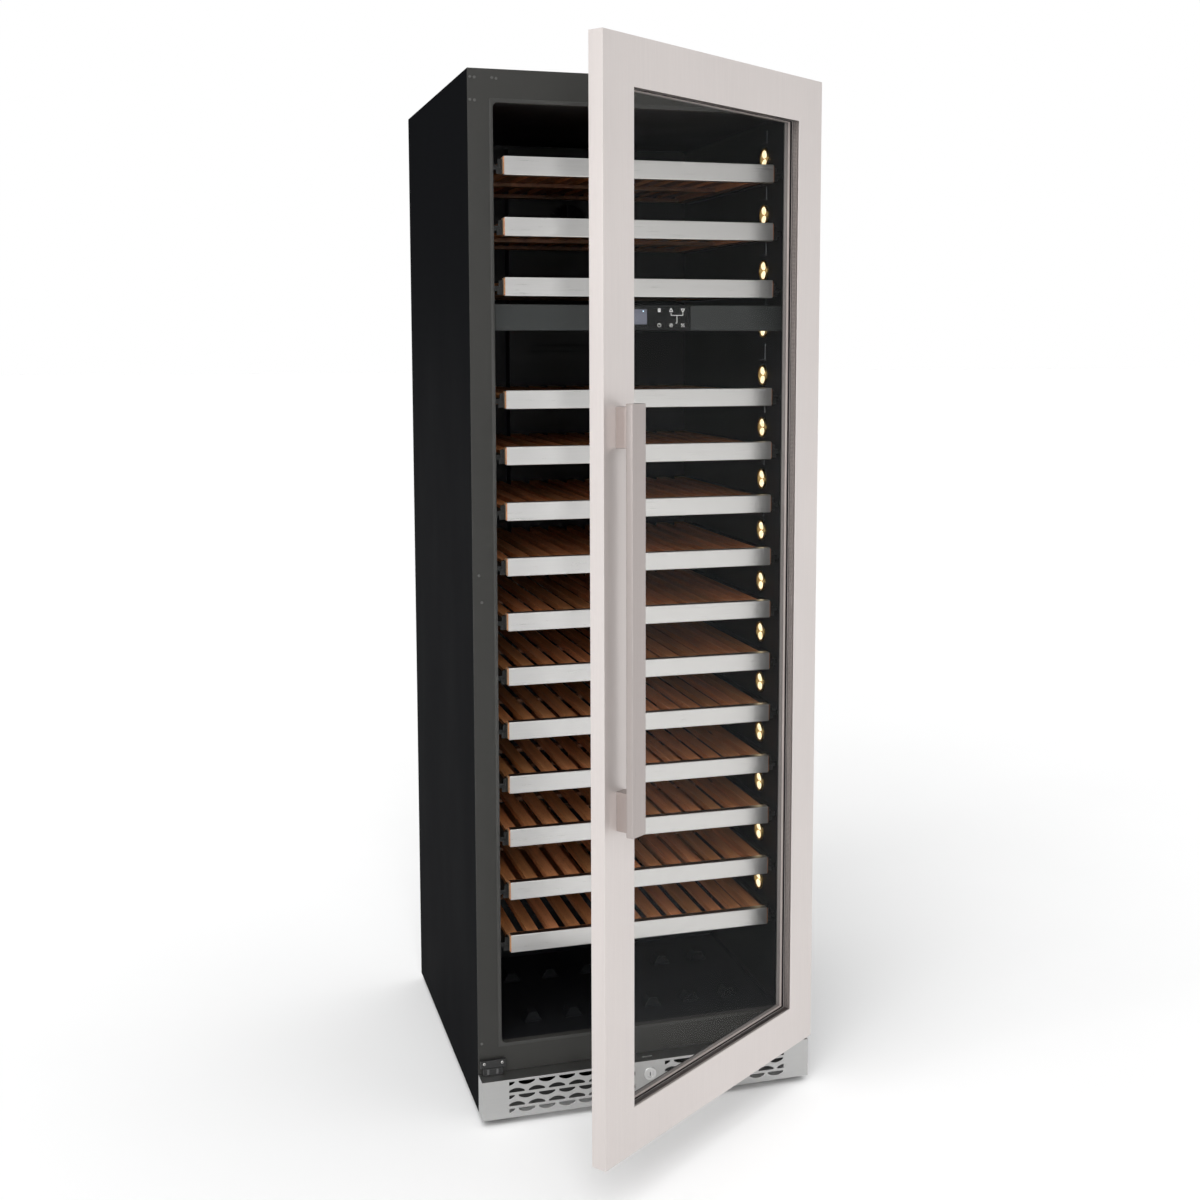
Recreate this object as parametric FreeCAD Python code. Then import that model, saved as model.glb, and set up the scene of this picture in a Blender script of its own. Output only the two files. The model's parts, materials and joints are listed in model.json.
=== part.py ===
"""Tall two-zone wine cooler with a hinged glass door, fourteen sliding shelves and a vented kick plate.

Millimetres. +X is to the right, +Y runs from the front of the cabinet to its back, +Z is up.
Shapes are drawn with Y = 0 at the sheet-steel front frame, the door shut. The door's pieces are
then swung open to the rest angle, and every piece is moved forward by ORIGIN_BACK, so that the
origin is on the floor at the middle of the whole footprint, door included.
"""
import FreeCAD, Part

import math
import os

V = FreeCAD.Vector
os.makedirs("parts", exist_ok=True)

# ---- overall sizes ----
WIDTH = 595.0
HEIGHT = 1765.0
DEPTH = 630.0
HALF = WIDTH / 2
SHEET = 1.2
SKIRT_Z = 12.0
ORIGIN_BACK = 120.0

# ---- kick plate and front frame ----
LEDGE_Z = 80.0
KICK_REACH = 34.0
LIP_HALF = 259.0
LIP_BOTTOM = 128.0
LIP_TOP = 1715.0
LIP_DEPTH = 12.0
MOUTH_R = 5.0

# ---- inside of the liner ----
LINER = 3.0
CAVITY_HALF = LIP_HALF - LINER
FLOOR_Z = LIP_BOTTOM + LINER
CEILING_Z = LIP_TOP - LINER
BACK_Y = 560.0
CORNER_R = 8.0
HUMP_Y = 370.0
HUMP_Z = 255.0
RIB_X = [-185.0, -111.0, -37.0, 37.0, 111.0, 185.0]
RIB_Y = [70.0, 250.0]
RIB_TALL = 16.0
RIB_DEEP = 24.0
RIB_FOOT_HALF = 16.0
RIB_CREST_HALF = 7.0

# ---- machine space behind and under the liner ----
MACHINE_Y = HUMP_Y + 41.0
MACHINE_Z = HUMP_Z - 40.0
FOAM_BOTTOM = 92.0
BASE_Z = 20.0
BASE_TALL = 24.0
BASE_FRONT = 4.0
BOSS_R = 10.0
BOSS_TALL = 20.0
STEM_R = 5.0
FOOT_SPOTS = [(x, y) for x in (-250.0, 250.0) for y in (60.0, 590.0)]
PAD_R = 20.0
PAD_TOP_R = 15.0
PAD_TALL = 8.0
NUT_R = 9.0
NUT_TALL = 5.0
REAR_LOW = 22.0
REAR_SLOT_X = 150.0
REAR_SLOT_HALF = 80.0
REAR_SLOT_ROWS = [60.0 + 18.0 * row for row in range(7)]
REAR_SLOT_TALL = 6.0

# ---- shelves: height of each front rail's top edge ----
UPPER_TOPS = [1630.3, 1531.9, 1434.4]
LOWER_FIRST = 1248.5
LOWER_PITCH = 93.4
LOWER_COUNT = 11
SHELF_TOPS = UPPER_TOPS + [LOWER_FIRST - LOWER_PITCH * i for i in range(LOWER_COUNT)]
FRONT_Y = 14.0
FRONT_HALF = 235.0
FRONT_TALL = 31.0
FRONT_DEEP = 14.0
RACK_HALF = 237.0
RACK_BACK = 505.0
SLAT_DROP = 8.0
SLAT_THICK = 11.0
SLAT_WIDE = 21.0
SIDE_SLAT_WIDE = 20.0
SLAT_COUNT = 11
SLAT_PITCH = (2 * RACK_HALF - SIDE_SLAT_WIDE) / (SLAT_COUNT + 1)
CROSS_RAIL = 20.0
CROSS_RAIL_Y = (262.0, RACK_BACK - CROSS_RAIL)
FRONT_RAIL = 17.8
RACK_UNDER = 26.0
RAIL_DROP = 18.0
RAIL_TALL = 16.0
RAIL_X = 245.0
RAIL_Y = (56.0, RACK_BACK + 12.0)
RAIL_WEB = 2.0
SLIDE_X = 253.4
SLIDE_FRONT = FRONT_Y + 8.0
SLIDE_HALF_TALL = 4.0
SLIDE_HEAD_X = 247.0
SLIDE_HEAD_THICK = 2.0
SLIDE_HEAD_DROP = (5.0, 29.0)
GROOVE_HALF_TALL = 4.4

# ---- two zones and controls ----
FASCIA_HALF = 253.0
FASCIA_Z = (1347.0, 1390.0)
FASCIA_Y = 14.0
FASCIA_DEEP = 16.0
FASCIA_WALL = 2.0
SEAT_DEEP = 2.0
DIVIDER_BACK = BACK_Y - 45.0
DIVIDER_Z = (1374.0, 1391.0)
TOUCH_HALF = 86.0

# ---- wall lamps ----
LAMP_Y = 108.0
LAMP_RISE = 20.0
LAMP_R = 16.5
LAMP_TIP_R = 12.5
LAMP_PROUD = 4.0
BEZEL_R = 19.0
BEZEL_PROUD = 2.4
FASCIA_LAMP_Z = 1354.0

# ---- door, drawn shut ----
DOOR_BOTTOM = 84.0
DOOR_TOP = HEIGHT
DOOR_FRONT = -38.0
SKIN_BACK = -12.0
WINDOW_HALF = HALF - 72.0
WINDOW_Z = (DOOR_BOTTOM + 74.0, DOOR_TOP - 72.0)
PANE = 3.0
PANE_LAP = 14.0
PANE_PLAY = 0.5
PANE_FRONT = DOOR_FRONT + SHEET + 0.2
SPACER = 10.0
SPACER_LAP = 10.0
UNIT_BACK = PANE_FRONT + 2 * PANE + SPACER
RIM_BACK = -7.5
RIM_REACH = 15.0
GASKET_HALF = 284.0
GASKET_WIDE = 12.0
GASKET_Z = (110.0, 1725.0)
GASKET_FOOT = -5.0
GASKET_TIP = -0.6
GASKET_STEP = 1.5
KEEPER_HALF = 9.5
KEEPER_TALL = 14.0
PIVOT = V(285.0, -21.0, 0.0)
REST_ANGLE = 36.0

# ---- hinges ----
PIN_R = 4.0
PIN_PLAY = 0.05
ARM_THICK = 3.0
ARM_R = 8.0
PLATE_THICK = 4.0
PLATE_X = (262.0, 293.0)
LOW_PLATE_Z = (LEDGE_Z, 106.0)
TOP_PLATE_Z = (1729.0, 1762.0)
POCKET_Z = 1757.0
POCKET_X = 267.0
LOW_PIN_TOP = 104.0
TOP_PIN_LOW = 1736.0
CATCH_X = (-295.0, -251.0)
CATCH_FACE = -8.5
CATCH_PLATE_LOW = 92.0
CATCH_FOOT_X = (-291.0, -256.0)
CATCH_FOOT_FACE = -10.0
CATCH_RIB_X = [-284.0, -268.0]
CATCH_RIB_WIDE = 3.0
CATCH_RIB_FACE = -10.8
CATCH_RIB_Z = (LEDGE_Z + 2.0, 91.0)
SCREW_R = 3.0
SCREW_TALL = 1.4
HINGE_SCREWS = [(267.0, 1736.0), (267.0, 1754.0), (267.0, 88.0), (267.0, 100.0)]
CATCH_SCREWS = [(-288.6, 101.0), (-257.4, 101.0)]

# ---- handle, on the door drawn shut ----
HANDLE_X = (-274.0, -242.0)
HANDLE_Z = (601.0, 1241.0)
HANDLE_Y = (-72.0, -60.0)
POST_X = (-269.5, -249.5)
POST_TALL = 60.0
POST_INSET = 5.0

# ---- lock ----
LOCK_Z = 56.6
LOCK_R = 9.5
BARREL_DEEP = 10.0
LOCK_RIM_R = (11.0, 12.0)
LOCK_RIM_PROUD = 2.2
PLUG_R = 6.0
PLUG_PLAY = 0.05
PLUG_PROUD = 1.6
CRANK_DISC_R = 13.0
CRANK_GAP = 0.1
CRANK_THICK = 2.6
CRANK_R = 10.0
CRANK_REST = -45.0
CRANK_PIN_R = 2.0
CRANK_PIN_LONG = 5.5
KEYWAY_HALF = (0.9, 3.6)
BOLT_Y = (-20.5, -16.5)
BOLT_PLAY = 0.6
BOLT_HALF = 16.0
BOLT_Z = (42.0, 63.0)
TONGUE_HALF = 8.0
BOLT_TOP = 79.5
BOLT_SLOT_X = (3.8, 13.4)
BOLT_SLOT_HALF = 2.9

# ---- fans ----
FAN_R = 42.0
CONDENSER_FAN_R = 52.0
SHAFT_R = 3.0
SHAFT_PLAY = 0.05
ZONE_FANS = {"fan_upper": 1560.0, "fan_lower": 760.0}
FAN_DEPTH = 12.0
FAN_Y = BACK_Y - 26.5
MOTOR_DEPTH = 14.0
BLADE_COUNT = 7
BLADE_THICK = 1.6
BLADE_CHORD = 17.0
BLADE_PITCH = 32.0
COVER_Y = 522.0
COVER_HALF = 120.0
COVER_WALL = 2.0
COVER_GAP = 8.0
AIR_SLOT_HALF = 80.0
AIR_SLOT_TALL = 5.0
GUARD_HALF = 1.5
MOTOR_R = 18.0
CONDENSER_FAN = V(112.0, 515.0, 92.0)
CONDENSER_WHEEL = V(107.0, 515.0, 92.0)

# ---- compressor and condenser ----
COMPRESSOR = V(-150.0, 520.0, 34.0)
CAN_R = 62.0
CAN_TALL = 150.0
CAN_ROUND = 26.0
FOOTPLATE_HALF = (85.0, 55.0)
FOOTPLATE_THICK = 4.0
GROMMET_R = 9.0
GROMMET_AT = (72.0, 42.0)
FIN_COUNT = 12
FIN_X = -20.0
FIN_PITCH = 9.0
FIN_Y = (440.0, 590.0)
FIN_Z = (26.0, 150.0)
TUBE_X = -26.0
TUBE_LONG = 112.0
TUBE_R = 5.0
TUBE_Y = [460.0 + 36.0 * column for column in range(4)]
TUBE_Z = [50.0, 90.0, 130.0]
SHROUD_HALF = 62.0
SHROUD_DEEP = 32.0
STRUT_HALF = 5.0

# ---- mains inlet ----
INLET_X = (-271.5, -238.5)
INLET_Z = (181.5, 208.5)
INLET_DEEP = 26.0
INLET_RECESS = 22.0
INLET_WELL_HALF = (13.0, 9.0)
INLET_BLADES = [(-7.0, -2.0), (0.0, 3.0), (7.0, -2.0)]


def box(x0, x1, y0, y1, z0, z1):
    """A block between two opposite corners."""
    return Part.makeBox(x1 - x0, y1 - y0, z1 - z0, V(x0, y0, z0))


def rod(centre, radius, length, axis):
    """A cylinder that starts at centre and runs along axis."""
    return Part.makeCylinder(radius, length, centre, axis)


def rounded(half, z0, z1, y0, y1, radius):
    """A block centred on X = 0 whose four edges along Y are rounded."""
    block = box(-half, half, y0, y1, z0, z1)
    along_y = [e for e in block.Edges if abs(e.tangentAt(e.FirstParameter).y) > 0.99]
    return block.makeFillet(radius, along_y)


def ring(half, z0, z1, border, y0, y1):
    """A rectangular frame of one border width all round."""
    hole = box(-half + border, half - border, y0 - 1, y1 + 1, z0 + border, z1 - border)
    return box(-half, half, y0, y1, z0, z1).cut(hole)


def slab(x_range, y_range, z_range):
    """A block between the two ends of a range along each axis."""
    return box(*x_range, *y_range, *z_range)


def inset(z_range, margin):
    """A height range made smaller at both ends."""
    return z_range[0] + margin, z_range[1] - margin


def fused(pieces):
    """One solid from pieces that touch."""
    return pieces[0].fuse(pieces[1:]).removeSplitter()


def mirrored(shape):
    """The same shape on the other side of X = 0."""
    return shape.mirror(V(0, 0, 0), V(1, 0, 0))


def save(name, shape):
    """Write one sub-part, moved to the row's origin."""
    placed = shape.copy()
    placed.translate(V(0, -ORIGIN_BACK, 0))
    placed.exportStep(f"parts/{name}.step")


def save_group(name, solids):
    """Write one sub-part made of several separate solids."""
    save(name, Part.makeCompound(solids))


def save_on_door(name, shape):
    """Write one sub-part of the door, swung from shut to its rest angle."""
    open_shape = shape.copy()
    open_shape.rotate(PIVOT, V(0, 0, 1), REST_ANGLE)
    save(name, open_shape)


# ======== cabinet shell ========

def outer_wrap():
    """One bent sheet: both sides and the top."""
    outside = box(-HALF, HALF, SHEET + 0.3, DEPTH - SHEET, SKIRT_Z, HEIGHT)
    inside = box(-HALF + SHEET, HALF - SHEET, 0, DEPTH, 0, HEIGHT - SHEET)
    return outside.cut(inside)


def rear_panel():
    """Flat back sheet with rows of air slots behind the machine space."""
    sheet = box(-HALF, HALF, DEPTH - SHEET, DEPTH, REAR_LOW, HEIGHT)
    through = (DEPTH - 5, DEPTH + 5)
    cuts = []
    for z in REAR_SLOT_ROWS:
        for x in (-REAR_SLOT_X, REAR_SLOT_X):
            cuts.append(slab((x - REAR_SLOT_HALF, x + REAR_SLOT_HALF), through, (z, z + REAR_SLOT_TALL)))
    inlet_x = (INLET_X[0] - 0.5, INLET_X[1] + 0.5)
    inlet_z = (INLET_Z[0] - 0.5, INLET_Z[1] + 0.5)
    cuts.append(slab(inlet_x, through, inlet_z))
    return sheet.cut(cuts)


def front_flange():
    """Painted steel frame round the mouth, with a lip folded back into it."""
    face = box(-HALF, HALF, 0, SHEET + 0.3, LEDGE_Z, HEIGHT)
    outer_half = LIP_HALF + SHEET
    lip = rounded(outer_half, LIP_BOTTOM - SHEET, LIP_TOP + SHEET, 0, LIP_DEPTH, MOUTH_R + SHEET)
    mouth = rounded(LIP_HALF, LIP_BOTTOM, LIP_TOP, -1, LIP_DEPTH + 1, MOUTH_R)
    return face.fuse(lip).cut(mouth).removeSplitter()


def cradle_rib(x, y):
    """A low wedge on the floor that keeps loose bottles apart."""
    crest = FLOOR_Z + RIB_TALL
    outline = Part.makePolygon([V(x - RIB_FOOT_HALF, y, FLOOR_Z), V(x + RIB_FOOT_HALF, y, FLOOR_Z),
                                V(x + RIB_CREST_HALF, y, crest), V(x - RIB_CREST_HALF, y, crest),
                                V(x - RIB_FOOT_HALF, y, FLOOR_Z)])
    return Part.Face(outline).extrude(V(0, RIB_DEEP, 0))


def inner_liner():
    """Moulded inner box with a step over the machine space and wedges on its floor."""
    shell = rounded(LIP_HALF, LIP_BOTTOM, LIP_TOP, LIP_DEPTH, BACK_Y + LINER, MOUTH_R)
    shell = shell.cut(box(-HALF, HALF, HUMP_Y + LINER, DEPTH, 0, HUMP_Z - LINER))
    cavity = rounded(CAVITY_HALF, FLOOR_Z, CEILING_Z, 0, BACK_Y, CORNER_R)
    cavity = cavity.cut(box(-HALF, HALF, HUMP_Y, DEPTH, 0, HUMP_Z))
    ribs = [cradle_rib(x, y) for x in RIB_X for y in RIB_Y]
    return shell.cut(cavity).fuse(ribs).removeSplitter()


def insulation():
    """Foam between the liner and the outer sheets."""
    foam = box(-HALF + SHEET, HALF - SHEET, LIP_DEPTH, DEPTH - SHEET, FOAM_BOTTOM, HEIGHT - SHEET)
    liner_space = rounded(LIP_HALF, LIP_BOTTOM, LIP_TOP, 0, BACK_Y + LINER, MOUTH_R)
    liner_space = liner_space.cut(box(-HALF, HALF, HUMP_Y + LINER, DEPTH, 0, HUMP_Z - LINER))
    machine_space = box(-HALF, HALF, MACHINE_Y, DEPTH, 0, MACHINE_Z)
    return foam.cut([liner_space, machine_space])


def machine_base():
    """Bottom tray with turned-up edges and four threaded bosses for the feet."""
    half = HALF - SHEET
    back = DEPTH - SHEET
    tray = box(-half, half, BASE_FRONT, back, BASE_Z, BASE_Z + BASE_TALL)
    well = box(-half + SHEET, half - SHEET, BASE_FRONT + SHEET, back - SHEET, BASE_Z + SHEET, BASE_Z + 30)
    bosses = [rod(V(x, y, BASE_Z), BOSS_R, BOSS_TALL, V(0, 0, 1)) for x, y in FOOT_SPOTS]
    holes = [rod(V(x, y, BASE_Z - 10), STEM_R, 40, V(0, 0, 1)) for x, y in FOOT_SPOTS]
    return tray.cut(well).fuse(bosses).cut(holes).removeSplitter()


def levelling_feet():
    """Four feet: a moulded pad on an M10 stem."""
    feet = []
    stem_low = PAD_TALL + NUT_TALL
    for x, y in FOOT_SPOTS:
        pad = Part.makeCone(PAD_R, PAD_TOP_R, PAD_TALL, V(x, y, 0), V(0, 0, 1))
        nut = rod(V(x, y, PAD_TALL), NUT_R, NUT_TALL, V(0, 0, 1))
        stem = rod(V(x, y, stem_low), STEM_R, BASE_Z + BOSS_TALL - stem_low, V(0, 0, 1))
        feet.append(fused([pad, nut, stem]))
    return feet


# ======== kick plate ========

VENT_X = (27.0, 251.0)
VENT_ROWS = [72.0 - 12.0 * row for row in range(5)]
SLOT_WIDE = 28.5
SLOT_PITCH = 35.5
SLOT_TALL = 7.4
SLOT_FLAT = 2.6
ROW_START = {1: 1.5, -1: 19.0}


def vent_slot(x, z, bulge):
    """A slot with one flat long edge; bulge is -1 for a rounded bottom and +1 for a rounded top."""
    y = -KICK_REACH - 2
    half_tall = bulge * SLOT_TALL / 2
    shoulder = z - half_tall + bulge * SLOT_FLAT
    flat_start = V(x, y, z - half_tall)
    flat_end = V(x + SLOT_WIDE, y, z - half_tall)
    far_shoulder = V(x + SLOT_WIDE, y, shoulder)
    crown = V(x + SLOT_WIDE / 2, y, z + half_tall)
    near_shoulder = V(x, y, shoulder)
    edges = [Part.LineSegment(near_shoulder, flat_start).toShape(),
             Part.LineSegment(flat_start, flat_end).toShape(),
             Part.LineSegment(flat_end, far_shoulder).toShape(),
             Part.Arc(far_shoulder, crown, near_shoulder).toShape()]
    return Part.Face(Part.Wire(edges)).extrude(V(0, 6, 0))


def vent_group(x0, x1):
    """Five rows of slots, each row shifted by half a pitch and cut off straight at the group's ends."""
    slots = []
    for row, z in enumerate(VENT_ROWS):
        bulge = 1 if row % 2 else -1
        x = x0 - ROW_START[bulge]
        while x < x1:
            slots.append(vent_slot(x, z, bulge))
            x += SLOT_PITCH
    limits = box(x0, x1, -KICK_REACH - 3, -KICK_REACH + 5, 0, LEDGE_Z)
    return Part.makeCompound(slots).common(limits)


def kick_plate():
    """Folded steel cover with a flat ledge, two groups of air slots, a lock hole and a bolt slot."""
    outside = box(-HALF, HALF, -KICK_REACH, 0, SKIRT_Z, LEDGE_Z)
    inside = box(-HALF + SHEET, HALF - SHEET, -KICK_REACH + SHEET, 1, 0, LEDGE_Z - SHEET)
    shell = outside.cut(inside)
    shell = shell.cut([vent_group(-VENT_X[1], -VENT_X[0]), vent_group(*VENT_X)])
    lock_hole = rod(V(0, -KICK_REACH - 1, LOCK_Z), LOCK_R, 5, V(0, 1, 0))
    slot_half = TONGUE_HALF + BOLT_PLAY + 0.2
    slot_y = (BOLT_Y[0] - BOLT_PLAY, BOLT_Y[1] + BOLT_PLAY)
    bolt_slot = slab((-slot_half, slot_half), slot_y, (LEDGE_Z - 5, LEDGE_Z + 5))
    return shell.cut([lock_hole, bolt_slot])


# ======== lock ========

def lock_barrel():
    """Fixed barrel of the lock, with a raised rim in front of the kick plate."""
    front = -KICK_REACH
    barrel = rod(V(0, front, LOCK_Z), LOCK_R, BARREL_DEEP, V(0, 1, 0))
    rim = Part.makeCone(*LOCK_RIM_R, LOCK_RIM_PROUD, V(0, front - LOCK_RIM_PROUD, LOCK_Z), V(0, 1, 0))
    bore = rod(V(0, front - 5, LOCK_Z), PLUG_R + PLUG_PLAY, 30, V(0, 1, 0))
    return barrel.fuse(rim).cut(bore).removeSplitter()


def lock_cylinder():
    """Turning plug with a keyway, and the crank that lifts the bolt."""
    front = -KICK_REACH
    crank_front = front + BARREL_DEEP + CRANK_GAP
    plug = rod(V(0, front - PLUG_PROUD, LOCK_Z), PLUG_R, crank_front - front + PLUG_PROUD, V(0, 1, 0))
    crank = rod(V(0, crank_front, LOCK_Z), CRANK_DISC_R, CRANK_THICK, V(0, 1, 0))
    angle = math.radians(CRANK_REST)
    pin_x = CRANK_R * math.cos(angle)
    pin_z = LOCK_Z + CRANK_R * math.sin(angle)
    pin = rod(V(pin_x, crank_front + CRANK_THICK, pin_z), CRANK_PIN_R, CRANK_PIN_LONG, V(0, 1, 0))
    wide, tall = KEYWAY_HALF
    keyway = box(-wide, wide, front - 3, front + 5, LOCK_Z - tall, LOCK_Z + tall)
    return fused([plug, crank, pin]).cut(keyway)


def lock_bolt():
    """Flat bolt with a cross slot for the crank pin and a tongue that rises into the door."""
    pin_z = LOCK_Z + CRANK_R * math.sin(math.radians(CRANK_REST))
    body = slab((-BOLT_HALF, BOLT_HALF), BOLT_Y, BOLT_Z)
    tongue = slab((-TONGUE_HALF, TONGUE_HALF), BOLT_Y, (BOLT_Z[1] - 1, BOLT_TOP))
    through = (BOLT_Y[0] - 1, BOLT_Y[1] + 1)
    slot = slab(BOLT_SLOT_X, through, (pin_z - BOLT_SLOT_HALF, pin_z + BOLT_SLOT_HALF))
    return body.fuse(tongue).cut(slot).removeSplitter()


# ======== hinges ========

def hinge_arm(z):
    """Flat arm from the front frame out to the pin."""
    arm = box(PIVOT.x - ARM_R, PIVOT.x + ARM_R - 1, PIVOT.y, 0, z, z + ARM_THICK)
    eye = rod(V(PIVOT.x, PIVOT.y, z), ARM_R, ARM_THICK, V(0, 0, 1))
    hole = rod(V(PIVOT.x, PIVOT.y, z - 1), PIN_R, ARM_THICK + 2, V(0, 0, 1))
    return arm.fuse(eye).cut(hole)


def screw(x, z, plate_face):
    """Slotted screw head on a plate on the front frame."""
    head = rod(V(x, plate_face - SCREW_TALL, z), SCREW_R, SCREW_TALL, V(0, 1, 0))
    slot_half = SCREW_R * 0.7
    return head.cut(box(x - slot_half, x + slot_half, plate_face - 2, plate_face - 0.8, z - 0.4, z + 0.4))


def hinge_plate(z_range, arm_z):
    """Plate on the front frame with its arm."""
    plate = slab(PLATE_X, (-PLATE_THICK, 0), z_range)
    return fused([plate, hinge_arm(arm_z)])


def catch_bracket():
    """Thick black bracket at the free side's bottom corner, with a foot and two upright ribs."""
    plate = slab(CATCH_X, (CATCH_FACE, 0), (CATCH_PLATE_LOW, LOW_PLATE_Z[1]))
    foot = slab(CATCH_FOOT_X, (CATCH_FOOT_FACE, 0), (LEDGE_Z, CATCH_PLATE_LOW + 1))
    rib_y = (CATCH_RIB_FACE, CATCH_FOOT_FACE)
    ribs = [slab((x, x + CATCH_RIB_WIDE), rib_y, CATCH_RIB_Z) for x in CATCH_RIB_X]
    return fused([plate, foot] + ribs)


def hinge_brackets():
    """Top and bottom hinge plates and the catch bracket, with their screw heads."""
    solids = [hinge_plate(TOP_PLATE_Z, TOP_PLATE_Z[1] - ARM_THICK), hinge_plate(LOW_PLATE_Z, LEDGE_Z),
              catch_bracket()]
    solids += [screw(x, z, -PLATE_THICK) for x, z in HINGE_SCREWS]
    return solids + [screw(x, z, CATCH_FACE) for x, z in CATCH_SCREWS]


def hinge_pins():
    """Two steel pins pressed into the hinge arms."""
    low = rod(V(PIVOT.x, PIVOT.y, LEDGE_Z), PIN_R, LOW_PIN_TOP - LEDGE_Z, V(0, 0, 1))
    top = rod(V(PIVOT.x, PIVOT.y, TOP_PIN_LOW), PIN_R, TOP_PLATE_Z[1] - TOP_PIN_LOW, V(0, 0, 1))
    return [low, top]


def hinge_bores():
    """Room in the door for both pins, and the pocket for the top arm."""
    bore_r = PIN_R + PIN_PLAY
    low = rod(V(PIVOT.x, PIVOT.y, DOOR_BOTTOM - 5), bore_r, LOW_PIN_TOP - DOOR_BOTTOM + 7, V(0, 0, 1))
    top = rod(V(PIVOT.x, PIVOT.y, TOP_PIN_LOW - 2), bore_r, 60, V(0, 0, 1))
    pocket = box(POCKET_X, HALF + 1, DOOR_FRONT + SHEET, 0, POCKET_Z, HEIGHT + 1)
    return [low, top, pocket]


def bolt_keeper(top):
    """Room in the door's bottom edge for the lock's bolt, up to a height."""
    keeper_y = (BOLT_Y[0] - 1.5, BOLT_Y[1] + 1.5)
    return slab((-KEEPER_HALF, KEEPER_HALF), keeper_y, (0, top))


# ======== door ========

def window_block(lap, y0, y1):
    """A block as large as the window plus a lap all round."""
    half = WINDOW_HALF + lap
    return slab((-half, half), (y0, y1), inset(WINDOW_Z, -lap))


def door_skin():
    """Folded stainless skin: face, outer edges and the window cut-out."""
    outside = box(-HALF, HALF, DOOR_FRONT, SKIN_BACK, DOOR_BOTTOM, DOOR_TOP)
    half = HALF - SHEET
    inside = box(-half, half, DOOR_FRONT + SHEET, 0, DOOR_BOTTOM + SHEET, DOOR_TOP - SHEET)
    window = window_block(0, DOOR_FRONT - 1, 0)
    bottom_hole = rod(V(PIVOT.x, PIVOT.y, DOOR_BOTTOM - 5), PIN_R + 1, 10, V(0, 0, 1))
    pocket = hinge_bores()[2]
    return outside.cut([inside, window, bolt_keeper(DOOR_BOTTOM + 5), bottom_hole, pocket])


def door_liner():
    """Moulded frame that fills the skin, holds the glass unit and has a raised rim round the window."""
    half = HALF - SHEET
    body = box(-half, half, DOOR_FRONT + SHEET, SKIN_BACK, DOOR_BOTTOM + SHEET, DOOR_TOP - SHEET)
    rim = window_block(RIM_REACH, SKIN_BACK - 1, RIM_BACK)
    unit = window_block(PANE_LAP, DOOR_FRONT, UNIT_BACK)
    window = window_block(0, DOOR_FRONT - 1, 0)
    keeper = bolt_keeper(DOOR_BOTTOM + KEEPER_TALL)
    return body.fuse(rim).cut([unit, window, keeper] + hinge_bores())


def glass_panes():
    """Front and back panes of the double glazing."""
    fronts = (PANE_FRONT, PANE_FRONT + PANE + SPACER)
    return [window_block(PANE_LAP - PANE_PLAY, y, y + PANE) for y in fronts]


def glass_spacer():
    """Aluminium spacer between the panes, just outside the window's edge."""
    y0 = PANE_FRONT + PANE
    spacer_z = inset(WINDOW_Z, -SPACER_LAP)
    return ring(WINDOW_HALF + SPACER_LAP, *spacer_z, SPACER_LAP - PANE_PLAY, y0, y0 + SPACER)


def door_gasket():
    """Magnetic seal round the back of the door: a foot and a thinner soft tip."""
    foot = ring(GASKET_HALF, *GASKET_Z, GASKET_WIDE, SKIN_BACK, GASKET_FOOT)
    step = GASKET_STEP
    tip_z = inset(GASKET_Z, step)
    tip = ring(GASKET_HALF - step, *tip_z, GASKET_WIDE - 2 * step, GASKET_FOOT, GASKET_TIP)
    return foot.fuse(tip)


def handle_bar():
    """Flat upright bar."""
    return slab(HANDLE_X, HANDLE_Y, HANDLE_Z)


def handle_posts():
    """Two plain blocks that hold the bar off the door."""
    posts = []
    for z in (HANDLE_Z[0] + POST_INSET, HANDLE_Z[1] - POST_INSET - POST_TALL):
        posts.append(slab(POST_X, (HANDLE_Y[1], DOOR_FRONT), (z, z + POST_TALL)))
    return Part.makeCompound(posts)


# ======== shelves ========

def shelf_rack(top):
    """Beech rack of separate sticks: front rail, two cross rails, two side slats and the inner slats."""
    slat_z = (top - SLAT_DROP - SLAT_THICK, top - SLAT_DROP)
    rail_front = FRONT_Y + SHEET
    slat_y = (rail_front + FRONT_RAIL, RACK_BACK)
    inner_half = RACK_HALF - SIDE_SLAT_WIDE
    rail_z = (top - FRONT_TALL + SHEET, top - SHEET)
    sticks = [slab((-RACK_HALF, RACK_HALF), (rail_front, slat_y[0]), rail_z)]
    for y in CROSS_RAIL_Y:
        sticks.append(slab((-inner_half, inner_half), (y, y + CROSS_RAIL), (top - RACK_UNDER, slat_z[0])))
    for x in (-RACK_HALF, inner_half):
        sticks.append(slab((x, x + SIDE_SLAT_WIDE), slat_y, (top - RACK_UNDER, slat_z[1])))
    for i in range(SLAT_COUNT):
        x = (i - (SLAT_COUNT - 1) / 2) * SLAT_PITCH - SLAT_WIDE / 2
        sticks.append(slab((x, x + SLAT_WIDE), slat_y, slat_z))
    return sticks


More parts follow.
